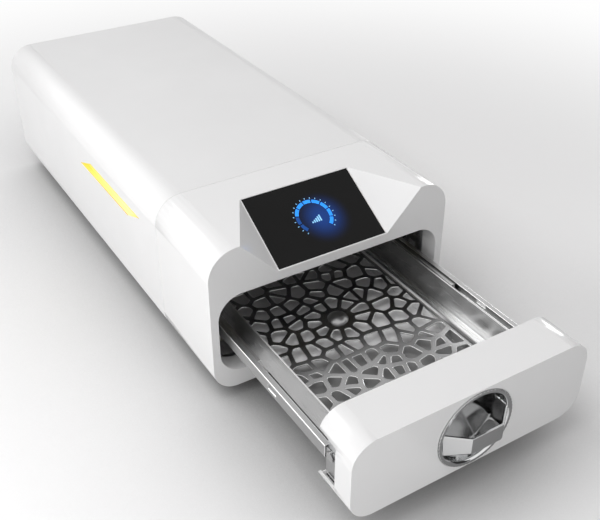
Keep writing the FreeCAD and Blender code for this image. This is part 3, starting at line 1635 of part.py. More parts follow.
def air_filter():
    """Round air filter that screws in from the back."""
    front, face = panel_back - filter_length, panel_back + filter_proud
    body = bar_back(filter_x, filter_z, front, face, filter_radius, 32)
    neck = bar_back(filter_x, filter_z, front - filter_neck_length, front + over, filter_neck)
    recess = bar_back(filter_x, filter_z, face - filter_recess, face + over, filter_radius - filter_rim, 32)
    half = filter_bar / 2
    grip = box(filter_x - filter_radius + filter_rim - over, filter_x + filter_radius - filter_rim + over,
               face - filter_recess - over, face, filter_z - half, filter_z + half)
    return body.fuse(neck).cut(recess).fuse(grip)


def power_supply():
    """Enclosed power supply on the deck."""
    left = board_side - deck_outer
    back = deck_back - supply_back
    front = back - supply_depth
    top = deck_top + supply_height
    case = box(left, left + supply_width, front, back, deck_top, top)
    vents = []
    for index in range(supply_vents):
        x = left + supply_vent_pitch * (index + 1) - supply_vent / 2
        vents.append(box(x, x + supply_vent, front + supply_vent_margin, back - supply_vent_margin,
                         top - supply_vent_depth, top + over))
    return case.cut(vents)


def control_board():
    """Main circuit board on pillars, with its larger components."""
    low = deck_top + board_stand
    top = low + board_thickness
    front, back = deck_front + board_inset, deck_back - board_inset
    board = box(board_left, board_right, front, back, low, top)
    pillars = []
    for x in (board_left + pillar_inset, board_right - pillar_inset):
        for y in (front + pillar_inset, back - pillar_inset):
            pillars.append(bar(vec(x, y, deck_top), vec(x, y, low + lap), pillar_radius))
    blocks = []
    for x, y, width, depth, height in board_blocks:
        blocks.append(box(board_left + x, board_left + x + width, front + y, front + y + depth, top, top + height))
    cans = []
    for index in range(can_count):
        start = vec(board_left + can_pitch * (index + 1), front + can_y, top)
        cans.append(bar(start, start + vec(0, 0, can_height), can_radius))
    return board.fuse(pillars + blocks + cans)


def safety_valve():
    """Brass safety valve on the chamber's rear port."""
    body_front = chamber_back + valve_body_gap
    body_back = body_front + valve_body
    stem = rod_back(port_x, port_height, chamber_back - over, body_back, valve_stem)
    body = bar_back(port_x, port_height, body_front, body_back, valve_hex, 6)
    cap = bar_back(port_x, port_height, body_back, body_back + valve_cap, valve_cap_radius)
    return stem.fuse([body, cap])


def temperature_probe():
    """Sheathed probe through the chamber's middle port."""
    tip = rod_back(0, port_height, chamber_back - probe_inside, chamber_back + probe_outside, probe_radius)
    gland = bar_back(0, port_height, chamber_back, chamber_back + probe_nut, probe_hex, 6)
    return tip.fuse(gland)


def pipe_start(centre, direction):
    """Many-sided outline at a pipe's open end, across its direction."""
    upright = vec(0, 0, 1) if abs(direction.z) < 0.7 else vec(0, 1, 0)
    first = direction.cross(upright).normalize() * pipe_radius
    second = direction.cross(first).normalize() * pipe_radius
    angles = [math.pi * (index + 0.5) / 4 for index in range(8)]
    return [centre + first * math.cos(angle) + second * math.sin(angle) for angle in angles]


def pipe_run(points):
    """Pipe along straight runs joined by bends of short flat-sided lengths."""
    heading = (points[1] - points[0]).normalize()
    rings = [pipe_start(points[0], heading)]
    place = points[0]
    for index in range(1, len(points) - 1):
        corner = points[index]
        out = (points[index + 1] - corner).normalize()
        turn = heading.getAngle(out)
        setback = pipe_bend * math.tan(turn / 2)
        bend_start = corner - heading * setback
        rings.append([point + (bend_start - place) for point in rings[-1]])
        axis = heading.cross(out).normalize()
        centre = bend_start + axis.cross(heading) * pipe_bend
        for step in range(bend_steps):
            rotation = FreeCAD.Rotation(axis, math.degrees(turn) / bend_steps)
            rings.append([centre + rotation.multVec(point - centre) for point in rings[-1]])
        heading = out
        place = corner + out * setback
    rings.append([point + (points[-1] - place) for point in rings[-1]])
    faces = [rings[0][::-1], rings[-1]]
    for lower, upper in zip(rings, rings[1:]):
        faces += [[lower[index - 1], lower[index], upper[index], upper[index - 1]] for index in range(8)]
    return flat_solid(faces)


def steam_pipes():
    """Copper pipes: chamber to steam generator, and feed pump to valves."""
    above = boiler_high + pipe_above
    out = chamber_back + pipe_out
    chamber_run = [vec(-port_x, chamber_back, port_height), vec(-port_x, out, port_height),
                   vec(-port_x, out, above), vec(boiler_x, boiler_y, above), vec(boiler_x, boiler_y, boiler_high)]
    start = plant_front + feed_length + feed_stub_back + snug
    middle = (start + valve_front) / 2
    feed_run = [vec(feed_x, start, feed_z), vec(feed_x, middle, feed_z),
                vec(feed_x, middle, feed_z + pipe_rise), vec(feed_x, valve_front, feed_z + pipe_rise)]
    return group([pipe_run(chamber_run), pipe_run(feed_run)])


def mirrored_pair(name, right):
    """Store a right-hand piece and its left-hand twin."""
    parts[name + "_right"] = right
    parts[name + "_left"] = mirrored(right)


def build():
    """Make every piece of the machine."""
    parts["case_cover"] = case_cover()
    parts["front_bezel"] = bezel()
    screen_parts()
    parts["side_light_left"] = side_light(-1)
    parts["side_light_right"] = side_light(1)
    parts["base_pan"] = base_pan()
    parts["rubber_feet"] = feet()
    parts["rear_panel"] = rear_panel()
    parts["rear_screws"] = screws()
    parts["chamber_vessel"] = chamber()
    parts["chamber_gasket"] = gasket()
    parts["chamber_heaters"] = heaters()
    parts["chamber_insulation"] = insulation()
    parts["lock_yoke"] = yoke()
    parts["chamber_cradle"] = cradle()
    parts["electronics_deck"] = deck()
    mirrored_pair("fixed_rail", fixed_rail())
    mirrored_pair("middle_rail", middle_rail())
    mirrored_pair("drawer_rail", drawer_rail())
    mirrored_pair("rail_bracket", rail_bracket())
    parts["door_shell"] = door_shell()
    parts["door_plate"] = door_plate()
    parts["knob_ring"] = knob_ring()
    parts["knob_grip"] = knob_grip()
    parts["knob_shaft"] = knob_shaft()
    parts["lock_pinion"] = pinion()
    parts["lock_bolt_right"] = lock_bolt()
    parts["lock_bolt_left"] = turned(lock_bolt(), 180)
    parts["lock_carrier"] = lock_carrier()
    parts["knob_bush"] = knob_bush()
    parts["bolt_guides"] = bolt_guides()
    parts["lock_solenoid"] = lock_solenoid()
    parts["lock_pin"] = lock_pin()
    parts["tray_frame"] = tray_frame()
    parts["tray_basin"] = tray_basin()
    parts["perforated_tray"] = perforated_tray()
    parts["tray_dome"] = tray_dome()
    parts["steam_generator"] = boiler()
    parts["vacuum_pump"] = vacuum_pump()
    parts["water_pump"] = water_pump()
    parts["solenoid_valves"] = valve_block()
    parts["condenser"] = condenser()
    parts["fan_housing"] = fan_housing()
    parts["fan_rotor"] = fan_rotor()
    parts["power_inlet"] = power_inlet()
    parts["switch_frame"] = switch_frame()
    parts["power_rocker"] = power_rocker()
    parts["hose_fittings"] = hose_fittings()
    parts["air_filter"] = air_filter()
    parts["power_supply"] = power_supply()
    parts["control_board"] = control_board()
    parts["safety_valve"] = safety_valve()
    parts["temperature_probe"] = temperature_probe()
    parts["steam_pipes"] = steam_pipes()


build()
os.makedirs("parts", exist_ok=True)
for name, shape in parts.items():
    shape.translate(vec(0, origin_shift, 0))
    shape.exportStep("parts/" + name + ".step")
print(len(parts), "parts written")
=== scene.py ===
# %% [markdown]
# This is a bench-top drawer autoclave, packed from CAD, that comes in as a fixed frame in metres.
# Its nodes keep their places and meshes. This file gives them finishes, and adds what a solid model
# leaves plain: the cut tray plate, the thin knob grip, ribs on the tray, and the lit readout.

# %% Load the frame
import json
import math
import bmesh
import bpy
from mathutils import Matrix, Vector


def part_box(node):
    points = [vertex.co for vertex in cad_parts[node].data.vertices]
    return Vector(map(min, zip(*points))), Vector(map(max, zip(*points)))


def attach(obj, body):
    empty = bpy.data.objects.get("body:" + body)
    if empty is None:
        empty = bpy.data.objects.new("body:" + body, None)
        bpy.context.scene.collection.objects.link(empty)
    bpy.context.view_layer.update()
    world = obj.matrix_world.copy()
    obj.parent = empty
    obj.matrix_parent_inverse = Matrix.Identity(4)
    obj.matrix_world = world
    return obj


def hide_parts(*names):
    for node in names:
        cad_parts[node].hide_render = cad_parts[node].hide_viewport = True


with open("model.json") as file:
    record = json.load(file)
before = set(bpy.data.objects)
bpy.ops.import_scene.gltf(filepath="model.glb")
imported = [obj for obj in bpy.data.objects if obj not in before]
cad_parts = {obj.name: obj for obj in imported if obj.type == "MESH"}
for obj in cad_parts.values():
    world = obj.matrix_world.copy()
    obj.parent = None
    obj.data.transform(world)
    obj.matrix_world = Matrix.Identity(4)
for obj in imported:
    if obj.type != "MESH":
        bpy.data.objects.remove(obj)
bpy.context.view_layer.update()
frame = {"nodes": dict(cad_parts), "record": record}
nodes = frame["nodes"]

# %% [markdown]
# A product photo is taken from a little above, so that the top, one side and the front all show.
# The camera could be tracked to an empty, but a fixed place and rotation repeat exactly.
# The lens belongs to a 36 mm wide sensor, which is Blender's own default.

# %% Camera
look_down, turn_right = 0.5961904870, 0.5536476968
camera_data = bpy.data.cameras.new("product_camera")
camera_data.sensor_width = 36.0
camera_data.lens = 53.305
camera_data.clip_end = 30.0
camera = bpy.data.objects.new("product_camera", camera_data)
camera.location = (-0.374668, -0.722537, 0.564206)
camera.rotation_euler = (math.pi / 2 - look_down, 0.0, -turn_right)
bpy.context.scene.collection.objects.link(camera)
bpy.context.scene.camera = camera
print("camera looks", round(math.degrees(look_down), 1), "degrees down and",
      round(math.degrees(turn_right), 1), "degrees to the right")

# %% [markdown]
# Materials and the world are small networks of nodes. Most steps here repeat two of them: a value
# brought from one range to another, and two values joined by one operation.
# A helper for each keeps the recipes short, and shows what goes in and what comes out.

# %% Node helpers
def link(tree, source, target):
    """Join two sockets."""
    tree.links.new(source, target)


def ranged(tree, value, start=0.0, end=1.0, low=0.0, high=1.0, shape="LINEAR"):
    """The value brought from start..end to low..high."""
    node = tree.nodes.new("ShaderNodeMapRange")
    node.interpolation_type = shape
    limits = {"From Min": start, "From Max": end, "To Min": low, "To Max": high}
    for socket, number in limits.items():
        node.inputs[socket].default_value = number
    link(tree, value, node.inputs["Value"])
    return node.outputs["Result"]


def joined(tree, operation, first, second):
    """Two values made into one."""
    node = tree.nodes.new("ShaderNodeMath")
    node.operation = operation
    link(tree, first, node.inputs[0])
    link(tree, second, node.inputs[1])
    return node.outputs[0]


def mixed_shader(tree, share, first, second):
    """Two shaders blended by a share."""
    node = tree.nodes.new("ShaderNodeMixShader")
    link(tree, share, node.inputs[0])
    link(tree, first, node.inputs[1])
    link(tree, second, node.inputs[2])
    return node.outputs[0]


print("node helpers ready")

# %% [markdown]
# The studio is a white room. Light Path tells the kinds of rays apart: the camera and reflections
# see plain white, while matt surfaces get a dimmer fill, so that the whites keep their shading.
# The fill is a little stronger from the left and from above, so that the faces on the right turn
# darker, as they do in the photograph.

# %% World
left_fill, right_fill = 0.56, 0.36
level_fill, top_fill = 0.98, 1.15
world = bpy.data.worlds.new("studio_world")
bpy.context.scene.world = world
world.use_nodes = True
tree = world.node_tree
tree.nodes.clear()
seen = tree.nodes.new("ShaderNodeBackground")
seen.inputs["Color"].default_value = (1.0, 1.0, 1.0, 1.0)
seen.inputs["Strength"].default_value = 1.0
fill = tree.nodes.new("ShaderNodeBackground")
fill.inputs["Color"].default_value = (1.0, 0.988, 0.993, 1.0)
direction = tree.nodes.new("ShaderNodeTexCoord")
parts = tree.nodes.new("ShaderNodeSeparateXYZ")
link(tree, direction.outputs["Generated"], parts.inputs[0])
side_fill = ranged(tree, parts.outputs["X"], -1.0, 1.0, left_fill, right_fill)
upper_fill = ranged(tree, parts.outputs["Z"], 0.0, 1.0, level_fill, top_fill)
link(tree, joined(tree, "MULTIPLY", side_fill, upper_fill), fill.inputs["Strength"])
ray = tree.nodes.new("ShaderNodeLightPath").outputs
plain_white = joined(tree, "MAXIMUM", ray["Is Camera Ray"], ray["Is Glossy Ray"])
plain_white = joined(tree, "MAXIMUM", plain_white, ray["Is Transmission Ray"])
surroundings = mixed_shader(tree, plain_white, fill.outputs[0], seen.outputs[0])
output = tree.nodes.new("ShaderNodeOutputWorld")
link(tree, surroundings, output.inputs["Surface"])
bpy.context.scene.view_settings.view_transform = "Standard"
print("world fill from", left_fill, "on the left to", right_fill, "on the right")

# %% [markdown]
# The lamps split the work. Softboxes light the matt whites, and the two overhead ones stay out of
# reflections. The strips light nothing matt: they are there for reflections, where they draw the
# bright lines along rounded edges. One lamp for both jobs would tie the two brightnesses together.
# The long strip lies parallel to the casing: a lamp across it would bend its line on the rounding.

# %% Lamps
def area_lamp(name, place, target, width, height, power):
    """Rectangular lamp that looks at a target."""
    data = bpy.data.lights.new(name, "AREA")
    data.shape = "RECTANGLE"
    data.size = width
    data.size_y = height
    data.energy = power
    lamp = bpy.data.objects.new(name, data)
    lamp.location = place
    lamp.rotation_euler = (Vector(target) - Vector(place)).to_track_quat("-Z", "Y").to_euler()
    bpy.context.scene.collection.objects.link(lamp)
    return lamp


side_softbox = area_lamp("side_softbox", (-1.00, -0.25, 0.24), (0.0, -0.20, 0.10),
                         width=1.0, height=0.4, power=2.4)
back_softbox = area_lamp("back_softbox", (-0.70, -0.10, 1.40), (0.0, -0.10, 0.0),
                         width=1.4, height=1.0, power=10.5)
edge_strip = area_lamp("edge_strip", (1.15, 0.34, 0.42), (0.05, -0.30, 0.10),
                       width=0.32, height=0.5, power=2.6)
front_softbox = area_lamp("front_softbox", (-0.10, -1.05, 1.20), (0.0, -0.20, 0.08),
                          width=1.0, height=1.0, power=1.6)
band_strip = area_lamp("band_strip", (-0.762, 1.50, 0.791), (-0.12, 1.50, 0.16),
                       width=2.6, height=0.74, power=13.0)
for lamp in (back_softbox, front_softbox):
    lamp.visible_glossy = False
for lamp in (edge_strip, band_strip):
    lamp.visible_diffuse = False
print("side softbox", side_softbox.data.energy, "W, long strip", band_strip.data.energy, "W")

# %% [markdown]
# The object stands on a pale paper sweep, which has no visible end. A curved backdrop would only
# suit one view, so the floor is one big flat plane that works from every side.

# %% Floor
def mesh_object(name, points, faces):
    """New object from points and faces, in the frame's metres."""
    mesh = bpy.data.meshes.new(name)
    mesh.from_pydata([tuple(point) for point in points], [], faces)
    mesh.update()
    made = bpy.data.objects.new(name, mesh)
    bpy.context.scene.collection.objects.link(made)
    return made


floor_reach = 6.0
floor = mesh_object("floor", [(-floor_reach, -floor_reach, 0), (floor_reach, -floor_reach, 0),
                              (floor_reach, floor_reach, 0), (-floor_reach, floor_reach, 0)],
                    [(0, 1, 2, 3)])
print("floor", floor_reach * 2, "m wide")

# %% [markdown]
# Near the object the paper is a matt pale sheet that takes the shadow, and further out it fades to
# the white of the background. The fade follows the plane's own coordinates, so it stays put.
# Ambient Occlusion tells how much of the space round a point is open. It deepens the shadow under
# and beside the casing, where soft lamps alone leave it too pale.

# %% Floor finish
fade_start, fade_end = 0.30, 1.15
grain_dark, grain_light = 0.955, 0.965
contact_reach, contact_tone = 0.24, 0.16
floor_finish = bpy.data.materials.new("floor_finish")
floor_finish.use_nodes = True
tree = floor_finish.node_tree
tree.nodes.clear()
place = tree.nodes.new("ShaderNodeTexCoord")
distance = tree.nodes.new("ShaderNodeVectorMath")
distance.operation = "LENGTH"
grain = tree.nodes.new("ShaderNodeTexNoise")
grain.inputs["Scale"].default_value = 60.0
link(tree, place.outputs["Object"], distance.inputs[0])
link(tree, place.outputs["Object"], grain.inputs["Vector"])
contact = tree.nodes.new("ShaderNodeAmbientOcclusion")
contact.samples = 12
contact.inputs["Distance"].default_value = contact_reach
contact.inputs["Color"].default_value = (1.0, 1.0, 1.0, 1.0)
grain_tone = ranged(tree, grain.outputs["Fac"], low=grain_dark, high=grain_light)
contact_share = ranged(tree, contact.outputs["AO"], low=contact_tone)
sheet = tree.nodes.new("ShaderNodeBsdfDiffuse")
link(tree, joined(tree, "MULTIPLY", contact_share, grain_tone), sheet.inputs["Color"])
white = tree.nodes.new("ShaderNodeEmission")
white.inputs["Strength"].default_value = 1.0
fade = ranged(tree, distance.outputs["Value"], fade_start, fade_end, shape="SMOOTHSTEP")
output = tree.nodes.new("ShaderNodeOutputMaterial")
paper = mixed_shader(tree, fade, sheet.outputs[0], white.outputs[0])
link(tree, paper, output.inputs["Surface"])
floor.data.materials.append(floor_finish)
print("floor fades from", fade_start, "to", fade_end, "m")

# %% [markdown]
# Polished metal and glass only look right when they have something dark to reflect. Photographers
# set up dark cards for this. Here they are planes that the camera can't see: one over the screen
# and one on the floor in front, which are there for reflections only. The floor one is grey: a
# painted shade for the floor in front, as the knob and the door mirror it.
# The third is a flag: a card that also takes light away, for the deeper shade beside the door.

# %% Dark cards
def dark_card(name, points, tone, shades=False):
    """Grey or black plane that reflections see, and that casts a shadow if asked."""
    card = mesh_object(name, points, [(0, 1, 2, 3)])
    finish = bpy.data.materials.new(name + "_finish")
    finish.use_nodes = True
    shader = finish.node_tree.nodes["Principled BSDF"]
    shader.inputs["Base Color"].default_value = (tone, tone, tone, 1.0)
    shader.inputs["Roughness"].default_value = 0.9
    card.data.materials.append(finish)
    card.visible_camera = False
    card.visible_diffuse = shades
    card.visible_transmission = False
    card.visible_shadow = shades
    return card


cards = [
    dark_card("screen_card", [(0.15, -0.55, 1.05), (0.80, -0.55, 1.05),
                              (0.80, 0.10, 1.05), (0.15, 0.10, 1.05)], tone=0.02),
    # A grey sheet on the floor, seen only in reflections: a painted shade of the floor there.
    dark_card("painted_floor_shade_card", [(0.00, -0.90, 0.002), (0.50, -0.90, 0.002),
                             (0.50, -0.39, 0.002), (0.00, -0.39, 0.002)], tone=0.28),
    dark_card("side_flag", [(0.42, -0.90, 0.0), (0.42, -0.30, 0.0),
                            (0.42, -0.30, 0.34), (0.42, -0.90, 0.34)], tone=0.02, shades=True)]
print("cards", [card.name for card in cards])

# %% [markdown]
# Every finish is built from the same few blocks: a slow change of tone, a change of gloss, and a
# fine bump. Keeping them in helpers makes each real material a short recipe.
# Object coordinates are used, because the CAD meshes have no unwrapped UVs.

# %% Finish helpers
def shader_of(finish):
    """The material's main shader."""
    return finish.node_tree.nodes["Principled BSDF"]


def new_finish(name, colour, roughness, metallic=0.0):
    """Material with a Principled shader set to plain values."""
    finish = bpy.data.materials.new(name)
    finish.use_nodes = True
    shader = shader_of(finish)
    shader.inputs["Base Color"].default_value = (*colour, 1.0)
    shader.inputs["Roughness"].default_value = roughness
    shader.inputs["Metallic"].default_value = metallic
    return finish


def noise_at(finish, scale, stretch=(1.0, 1.0, 1.0), detail=3.0):
    """Noise over the object, stretched along the axes if asked."""
    tree = finish.node_tree
    place = tree.nodes.new("ShaderNodeTexCoord")
    mapping = tree.nodes.new("ShaderNodeMapping")
    mapping.inputs["Scale"].default_value = stretch
    noise = tree.nodes.new("ShaderNodeTexNoise")
    noise.inputs["Scale"].default_value = scale
    noise.inputs["Detail"].default_value = detail
    link(tree, place.outputs["Object"], mapping.inputs["Vector"])
    link(tree, mapping.outputs["Vector"], noise.inputs["Vector"])
    return noise.outputs["Fac"]


def grey(value, tint=0.0):
    """Neutral tone, cooler where the tint is above nought."""
    return (value * (1 - tint), value, value * (1 + tint))


finishes = {}
print("finish helpers ready")

# %% [markdown]
# The noise drives colour, gloss and relief, each through a helper of its own. It seldom leaves the
# range from 0.3 to 0.7, so that range is what gets spread over a change.
# Two colours could be mixed directly. A ramp does the same, and takes more stops where needed.

# %% Tone, gloss and relief
noise_low, noise_high = 0.3, 0.7


def colour_ramp(finish, share, stops):
    """Colour read off a ramp of (position, colour) stops."""
    ramp = finish.node_tree.nodes.new("ShaderNodeValToRGB")
    elements = ramp.color_ramp.elements
    for element, (position, colour) in zip(elements, (stops[0], stops[-1])):
        element.position = position
        element.color = (*colour, 1.0)
    for position, colour in stops[1:-1]:
        elements.new(position).color = (*colour, 1.0)
    link(finish.node_tree, share, ramp.inputs["Fac"])
    return ramp.outputs["Color"]


def vary_tone(finish, noise, dark, light):
    """Colour runs from dark to light with the noise."""
    colour = colour_ramp(finish, noise, ((noise_low, dark), (noise_high, light)))
    link(finish.node_tree, colour, shader_of(finish).inputs["Base Color"])


def vary_gloss(finish, noise, low, high):
    """Roughness runs from low to high with the noise."""
    roughness = ranged(finish.node_tree, noise, noise_low, noise_high, low, high)
    link(finish.node_tree, roughness, shader_of(finish).inputs["Roughness"])


def add_bump(finish, noise, height, strength=1.0):
    """Fine relief of the given height in metres."""
    tree = finish.node_tree
    bump = tree.nodes.new("ShaderNodeBump")
    bump.inputs["Strength"].default_value = strength
    bump.inputs["Distance"].default_value = height
    link(tree, noise, bump.inputs["Height"])
    link(tree, bump.outputs["Normal"], shader_of(finish).inputs["Normal"])


print("noise spread from", noise_low, "to", noise_high)

# %% [markdown]
# The casing's rear wrap is powder coated: satin, with a faint orange peel. The bezel and the door
# are glossy mouldings, so their reflections are sharper and only their tone wanders a little.
# One white for all would be quicker, but the eye tells paint from plastic by the sharpness of the
# highlight, which changes at the seam.

# %% White finishes
satin = new_finish("white_satin_finish", grey(0.79), 0.42)
vary_tone(satin, noise_at(satin, scale=9.0), dark=grey(0.775), light=grey(0.80))
vary_gloss(satin, noise_at(satin, scale=40.0), low=0.36, high=0.46)
add_bump(satin, noise_at(satin, scale=900.0, detail=2.0), height=0.00002, strength=0.35)
finishes["white_satin"] = satin

gloss = new_finish("white_gloss_finish", grey(0.81), 0.14)
vary_tone(gloss, noise_at(gloss, scale=7.0), dark=grey(0.80), light=grey(0.82))
vary_gloss(gloss, noise_at(gloss, scale=30.0), low=0.09, high=0.15)
add_bump(gloss, noise_at(gloss, scale=120.0, detail=1.0), height=0.00002, strength=0.15)
finishes["white_gloss"] = gloss
print("white finishes", sorted(finishes))

# %% [markdown]
# Stainless sheet is drawn through rollers, which leaves long fine lines. A noise stretched hard
# along one axis gives them, in gloss and as a slight relief, over a slow blotchy change of tone.
# The tray's own pieces get darker or brighter steels than the rest. The darker plate and cap steels
# are a painted reflection of the dark mouth behind the open tray, and the near-white edge steel is
# a painted highlight where cut edges mirror the lamps.

# %% Steel finishes
line_stretch, line_height = 0.012, 0.0000015


def brushed(name, tone, low, high, along):
    """Metal with fine lines along one axis, and roughness from low to high."""
    finish = new_finish(name, grey(tone), (low + high) / 2, metallic=1.0)
    stretch = tuple(line_stretch if axis == along else 1.0 for axis in "XYZ")
    lines = noise_at(finish, scale=2600.0, stretch=stretch, detail=2.0)
    dark, light = tone * 0.95, min(tone * 1.04, 0.95)
    vary_tone(finish, noise_at(finish, scale=22.0, detail=4.0), grey(dark), grey(light))
    vary_gloss(finish, lines, low, high)
    add_bump(finish, lines, line_height, strength=0.5)
    return finish


finishes["stainless"] = brushed("tray_steel_finish", 0.68, 0.27, 0.31, "Y")
finishes["rail_steel"] = brushed("rail_steel_finish", 0.44, 0.28, 0.36, "Y")
finishes["steel_fixings"] = brushed("turned_steel_finish", 0.50, 0.22, 0.34, "Z")
finishes["aluminium_fins"] = brushed("mill_aluminium_finish", 0.68, 0.30, 0.42, "X")
# The cap and plate steels are darker: a painted reflection of the dark mouth.
cap_steel_painted_reflection = brushed("cap_steel_finish", 0.42, 0.30, 0.34, "Z")
plate_steel_painted_reflection = brushed("plate_steel_finish", 0.36, 0.20, 0.26, "Y")
# The edge steel is near white: a painted highlight for bevels and cut edges.
edge_steel_painted_highlight = brushed("edge_steel_finish", 0.92, 0.16, 0.22, "Y")
print("brushed finishes", sorted(finishes))

# %% [markdown]
# The drip basin under the plate is a dull pressed sheet. It shows a blurred picture of its
# surroundings: dark under the door, then a bright zone, then grey towards the mouth.
# A true metal would show this scene's surroundings, which aren't the real ones. So the basin is a
# mostly diffuse sheet, and a ramp that runs slantwise along the tray lays the tones on it: a
# painted reflection and shade.

# %% Basin finish
slant = (0.177, 1.0, 0.0)
basin_front, basin_rear = -0.33, -0.13
painted_reflection_stops = ((0.0, grey(0.30)), (0.50, grey(0.30)), (0.565, grey(0.92)), (0.74, grey(0.90)),
               (1.0, grey(0.50)))
basin_steel_painted_reflection = new_finish("basin_steel_finish", grey(0.6), 0.5, 0.1)
tree = basin_steel_painted_reflection.node_tree
spot = tree.nodes.new("ShaderNodeTexCoord")
along_tray = tree.nodes.new("ShaderNodeVectorMath")
along_tray.operation = "DOT_PRODUCT"
along_tray.inputs[1].default_value = slant
link(tree, spot.outputs["Object"], along_tray.inputs[0])
length_share = ranged(tree, along_tray.outputs["Value"], basin_front, basin_rear)
# The ramp's tones are a painted reflection and shade, not the basin's own colour.
painted_reflection_tone = colour_ramp(basin_steel_painted_reflection, length_share, painted_reflection_stops)
link(tree, painted_reflection_tone, shader_of(basin_steel_painted_reflection).inputs["Base Color"])
vary_gloss(basin_steel_painted_reflection, noise_at(basin_steel_painted_reflection, scale=40.0), low=0.46, high=0.56)
print("basin tones", len(painted_reflection_stops))

# %% [markdown]
# Galvanised sheet is covered with flat zinc crystals. Voronoi cells have that look, so their
# distance drives the tone, while the gloss and a faint relief follow finer noise.
# Chrome is the other way round: almost a mirror, with hardly any change. The knob's inner faces get
# a darker one, a painted shade, because inside the cup they mirror each other and not the room.

# %% Zinc and chrome
galvanised = new_finish("galvanised_finish", grey(0.52), 0.4, 1.0)
tree = galvanised.node_tree
cells = tree.nodes.new("ShaderNodeTexVoronoi")
cells.inputs["Scale"].default_value = 70.0
spot = tree.nodes.new("ShaderNodeTexCoord")
link(tree, spot.outputs["Object"], cells.inputs["Vector"])
vary_tone(galvanised, cells.outputs["Distance"], dark=grey(0.46, 0.01), light=grey(0.56, 0.01))
vary_gloss(galvanised, noise_at(galvanised, scale=60.0), low=0.34, high=0.5)
add_bump(galvanised, noise_at(galvanised, scale=250.0), height=0.00002, strength=0.3)
finishes["galvanised_sheet"] = galvanised

chrome = new_finish("chrome_finish", grey(0.74, 0.004), 0.08, 1.0)
vary_tone(chrome, noise_at(chrome, scale=18.0), dark=grey(0.71, 0.004), light=grey(0.76, 0.004))
vary_gloss(chrome, noise_at(chrome, scale=60.0), low=0.07, high=0.12)
finishes["chromed"] = chrome
# The darker chrome for the knob's inner faces is a painted shade.
chrome_painted_shade = new_finish("dark_chrome_finish", grey(0.48), 0.14, 1.0)
vary_tone(chrome_painted_shade, noise_at(chrome_painted_shade, scale=18.0), dark=grey(0.42), light=grey(0.50))
print("metal slots", len([name for name in finishes if "white" not in name]))

# %% [markdown]
# The parts inside and behind are plain workshop materials. They still get their grain: cast metal
# is pitted, rubber is dusty and felt is fibrous. One helper with a few values per material is
# enough, because they differ in colour, gloss, grain size and relief, and in little else.

# %% Plain finishes
def moulded(slot, colour, low, high, scale, height, metallic=0.0, spread=0.12):
    """Moulded, cast or coated surface: roughness from low to high, and a small relief."""
    finish = new_finish(slot + "_finish", colour, (low + high) / 2, metallic)
    dark = tuple(value * (1 - spread) for value in colour)
    light = tuple(min(value * (1 + spread), 1.0) for value in colour)
    vary_tone(finish, noise_at(finish, scale * 0.15), dark, light)
    vary_gloss(finish, noise_at(finish, scale * 0.4), low, high)
    add_bump(finish, noise_at(finish, scale, detail=2.0), height, strength=0.5)
    finishes[slot] = finish
    return finish


moulded("grey_sheet", (0.60, 0.61, 0.62), 0.38, 0.5, 700.0, 0.00002, spread=0.02)
moulded("bronze", (0.62, 0.45, 0.20), 0.22, 0.36, 300.0, 0.00001, metallic=1.0)
moulded("copper_pipe", (0.68, 0.36, 0.22), 0.2, 0.4, 120.0, 0.00001, metallic=1.0)
moulded("pump_casting", (0.19, 0.20, 0.21), 0.5, 0.7, 400.0, 0.00008, metallic=0.3)
moulded("black_rubber", (0.028, 0.028, 0.028), 0.62, 0.8, 500.0, 0.00004)
moulded("seal_rubber", (0.06, 0.06, 0.065), 0.5, 0.65, 500.0, 0.00003)
moulded("heater_mat", (0.40, 0.12, 0.06), 0.5, 0.65, 300.0, 0.00005)
moulded("insulation_felt", (0.70, 0.68, 0.62), 0.85, 0.95, 220.0, 0.0006)
moulded("black_plastic", (0.024, 0.024, 0.027), 0.4, 0.55, 800.0, 0.00003)
moulded("black_gloss", (0.02, 0.02, 0.022), 0.1, 0.18, 200.0, 0.000005)
moulded("filter_plastic", (0.68, 0.73, 0.78), 0.15, 0.25, 200.0, 0.00001, spread=0.03)
print("plain finishes made,", len(finishes), "slots in all")

# %% [markdown]
# The circuit boards are green laminate with copper tracks under the lacquer. A real layout would
# need an image; a brick pattern at track size gives the same busy lines without one.

# %% Circuit board
track_colours = {"Color1": (0.02, 0.14, 0.06), "Color2": (0.03, 0.20, 0.09),
                 "Mortar": (0.06, 0.30, 0.14)}
board = moulded("circuit_board", (0.03, 0.17, 0.08), 0.3, 0.45, 300.0, 0.00003)
tree = board.node_tree
tracks = tree.nodes.new("ShaderNodeTexBrick")
tracks.inputs["Scale"].default_value = 110.0
for socket, colour in track_colours.items():
    tracks.inputs[socket].default_value = (*colour, 1.0)
spot = tree.nodes.new("ShaderNodeTexCoord")
link(tree, spot.outputs["Object"], tracks.inputs["Vector"])
link(tree, tracks.outputs["Color"], shader_of(board).inputs["Base Color"])
print("board colours", len(track_colours))

# %% [markdown]
# The screen is printed black glass over a lit panel, and it leans back in the bezel. Everything on
# it is placed from the glass's own centre and slope, which are measured from its largest face.
# Typing them in would be shorter, but would break as soon as the casing changed.

# %% Measure the glass
def flat_face(node, upward):
    """Centre and normal of a node's largest face that looks roughly the given way."""
    best = max((face for face in node.data.polygons if face.normal.dot(Vector(upward)) > 0.5),
               key=lambda face: face.area)
    normal = best.normal.copy()
    corners = [node.data.vertices[index].co for face in node.data.polygons
               if face.normal.dot(normal) > 0.999 for index in face.vertices]
    low = [min(corner[axis] for corner in corners) for axis in range(3)]
    high = [max(corner[axis] for corner in corners) for axis in range(3)]
    return (Vector(low) + Vector(high)) / 2, normal


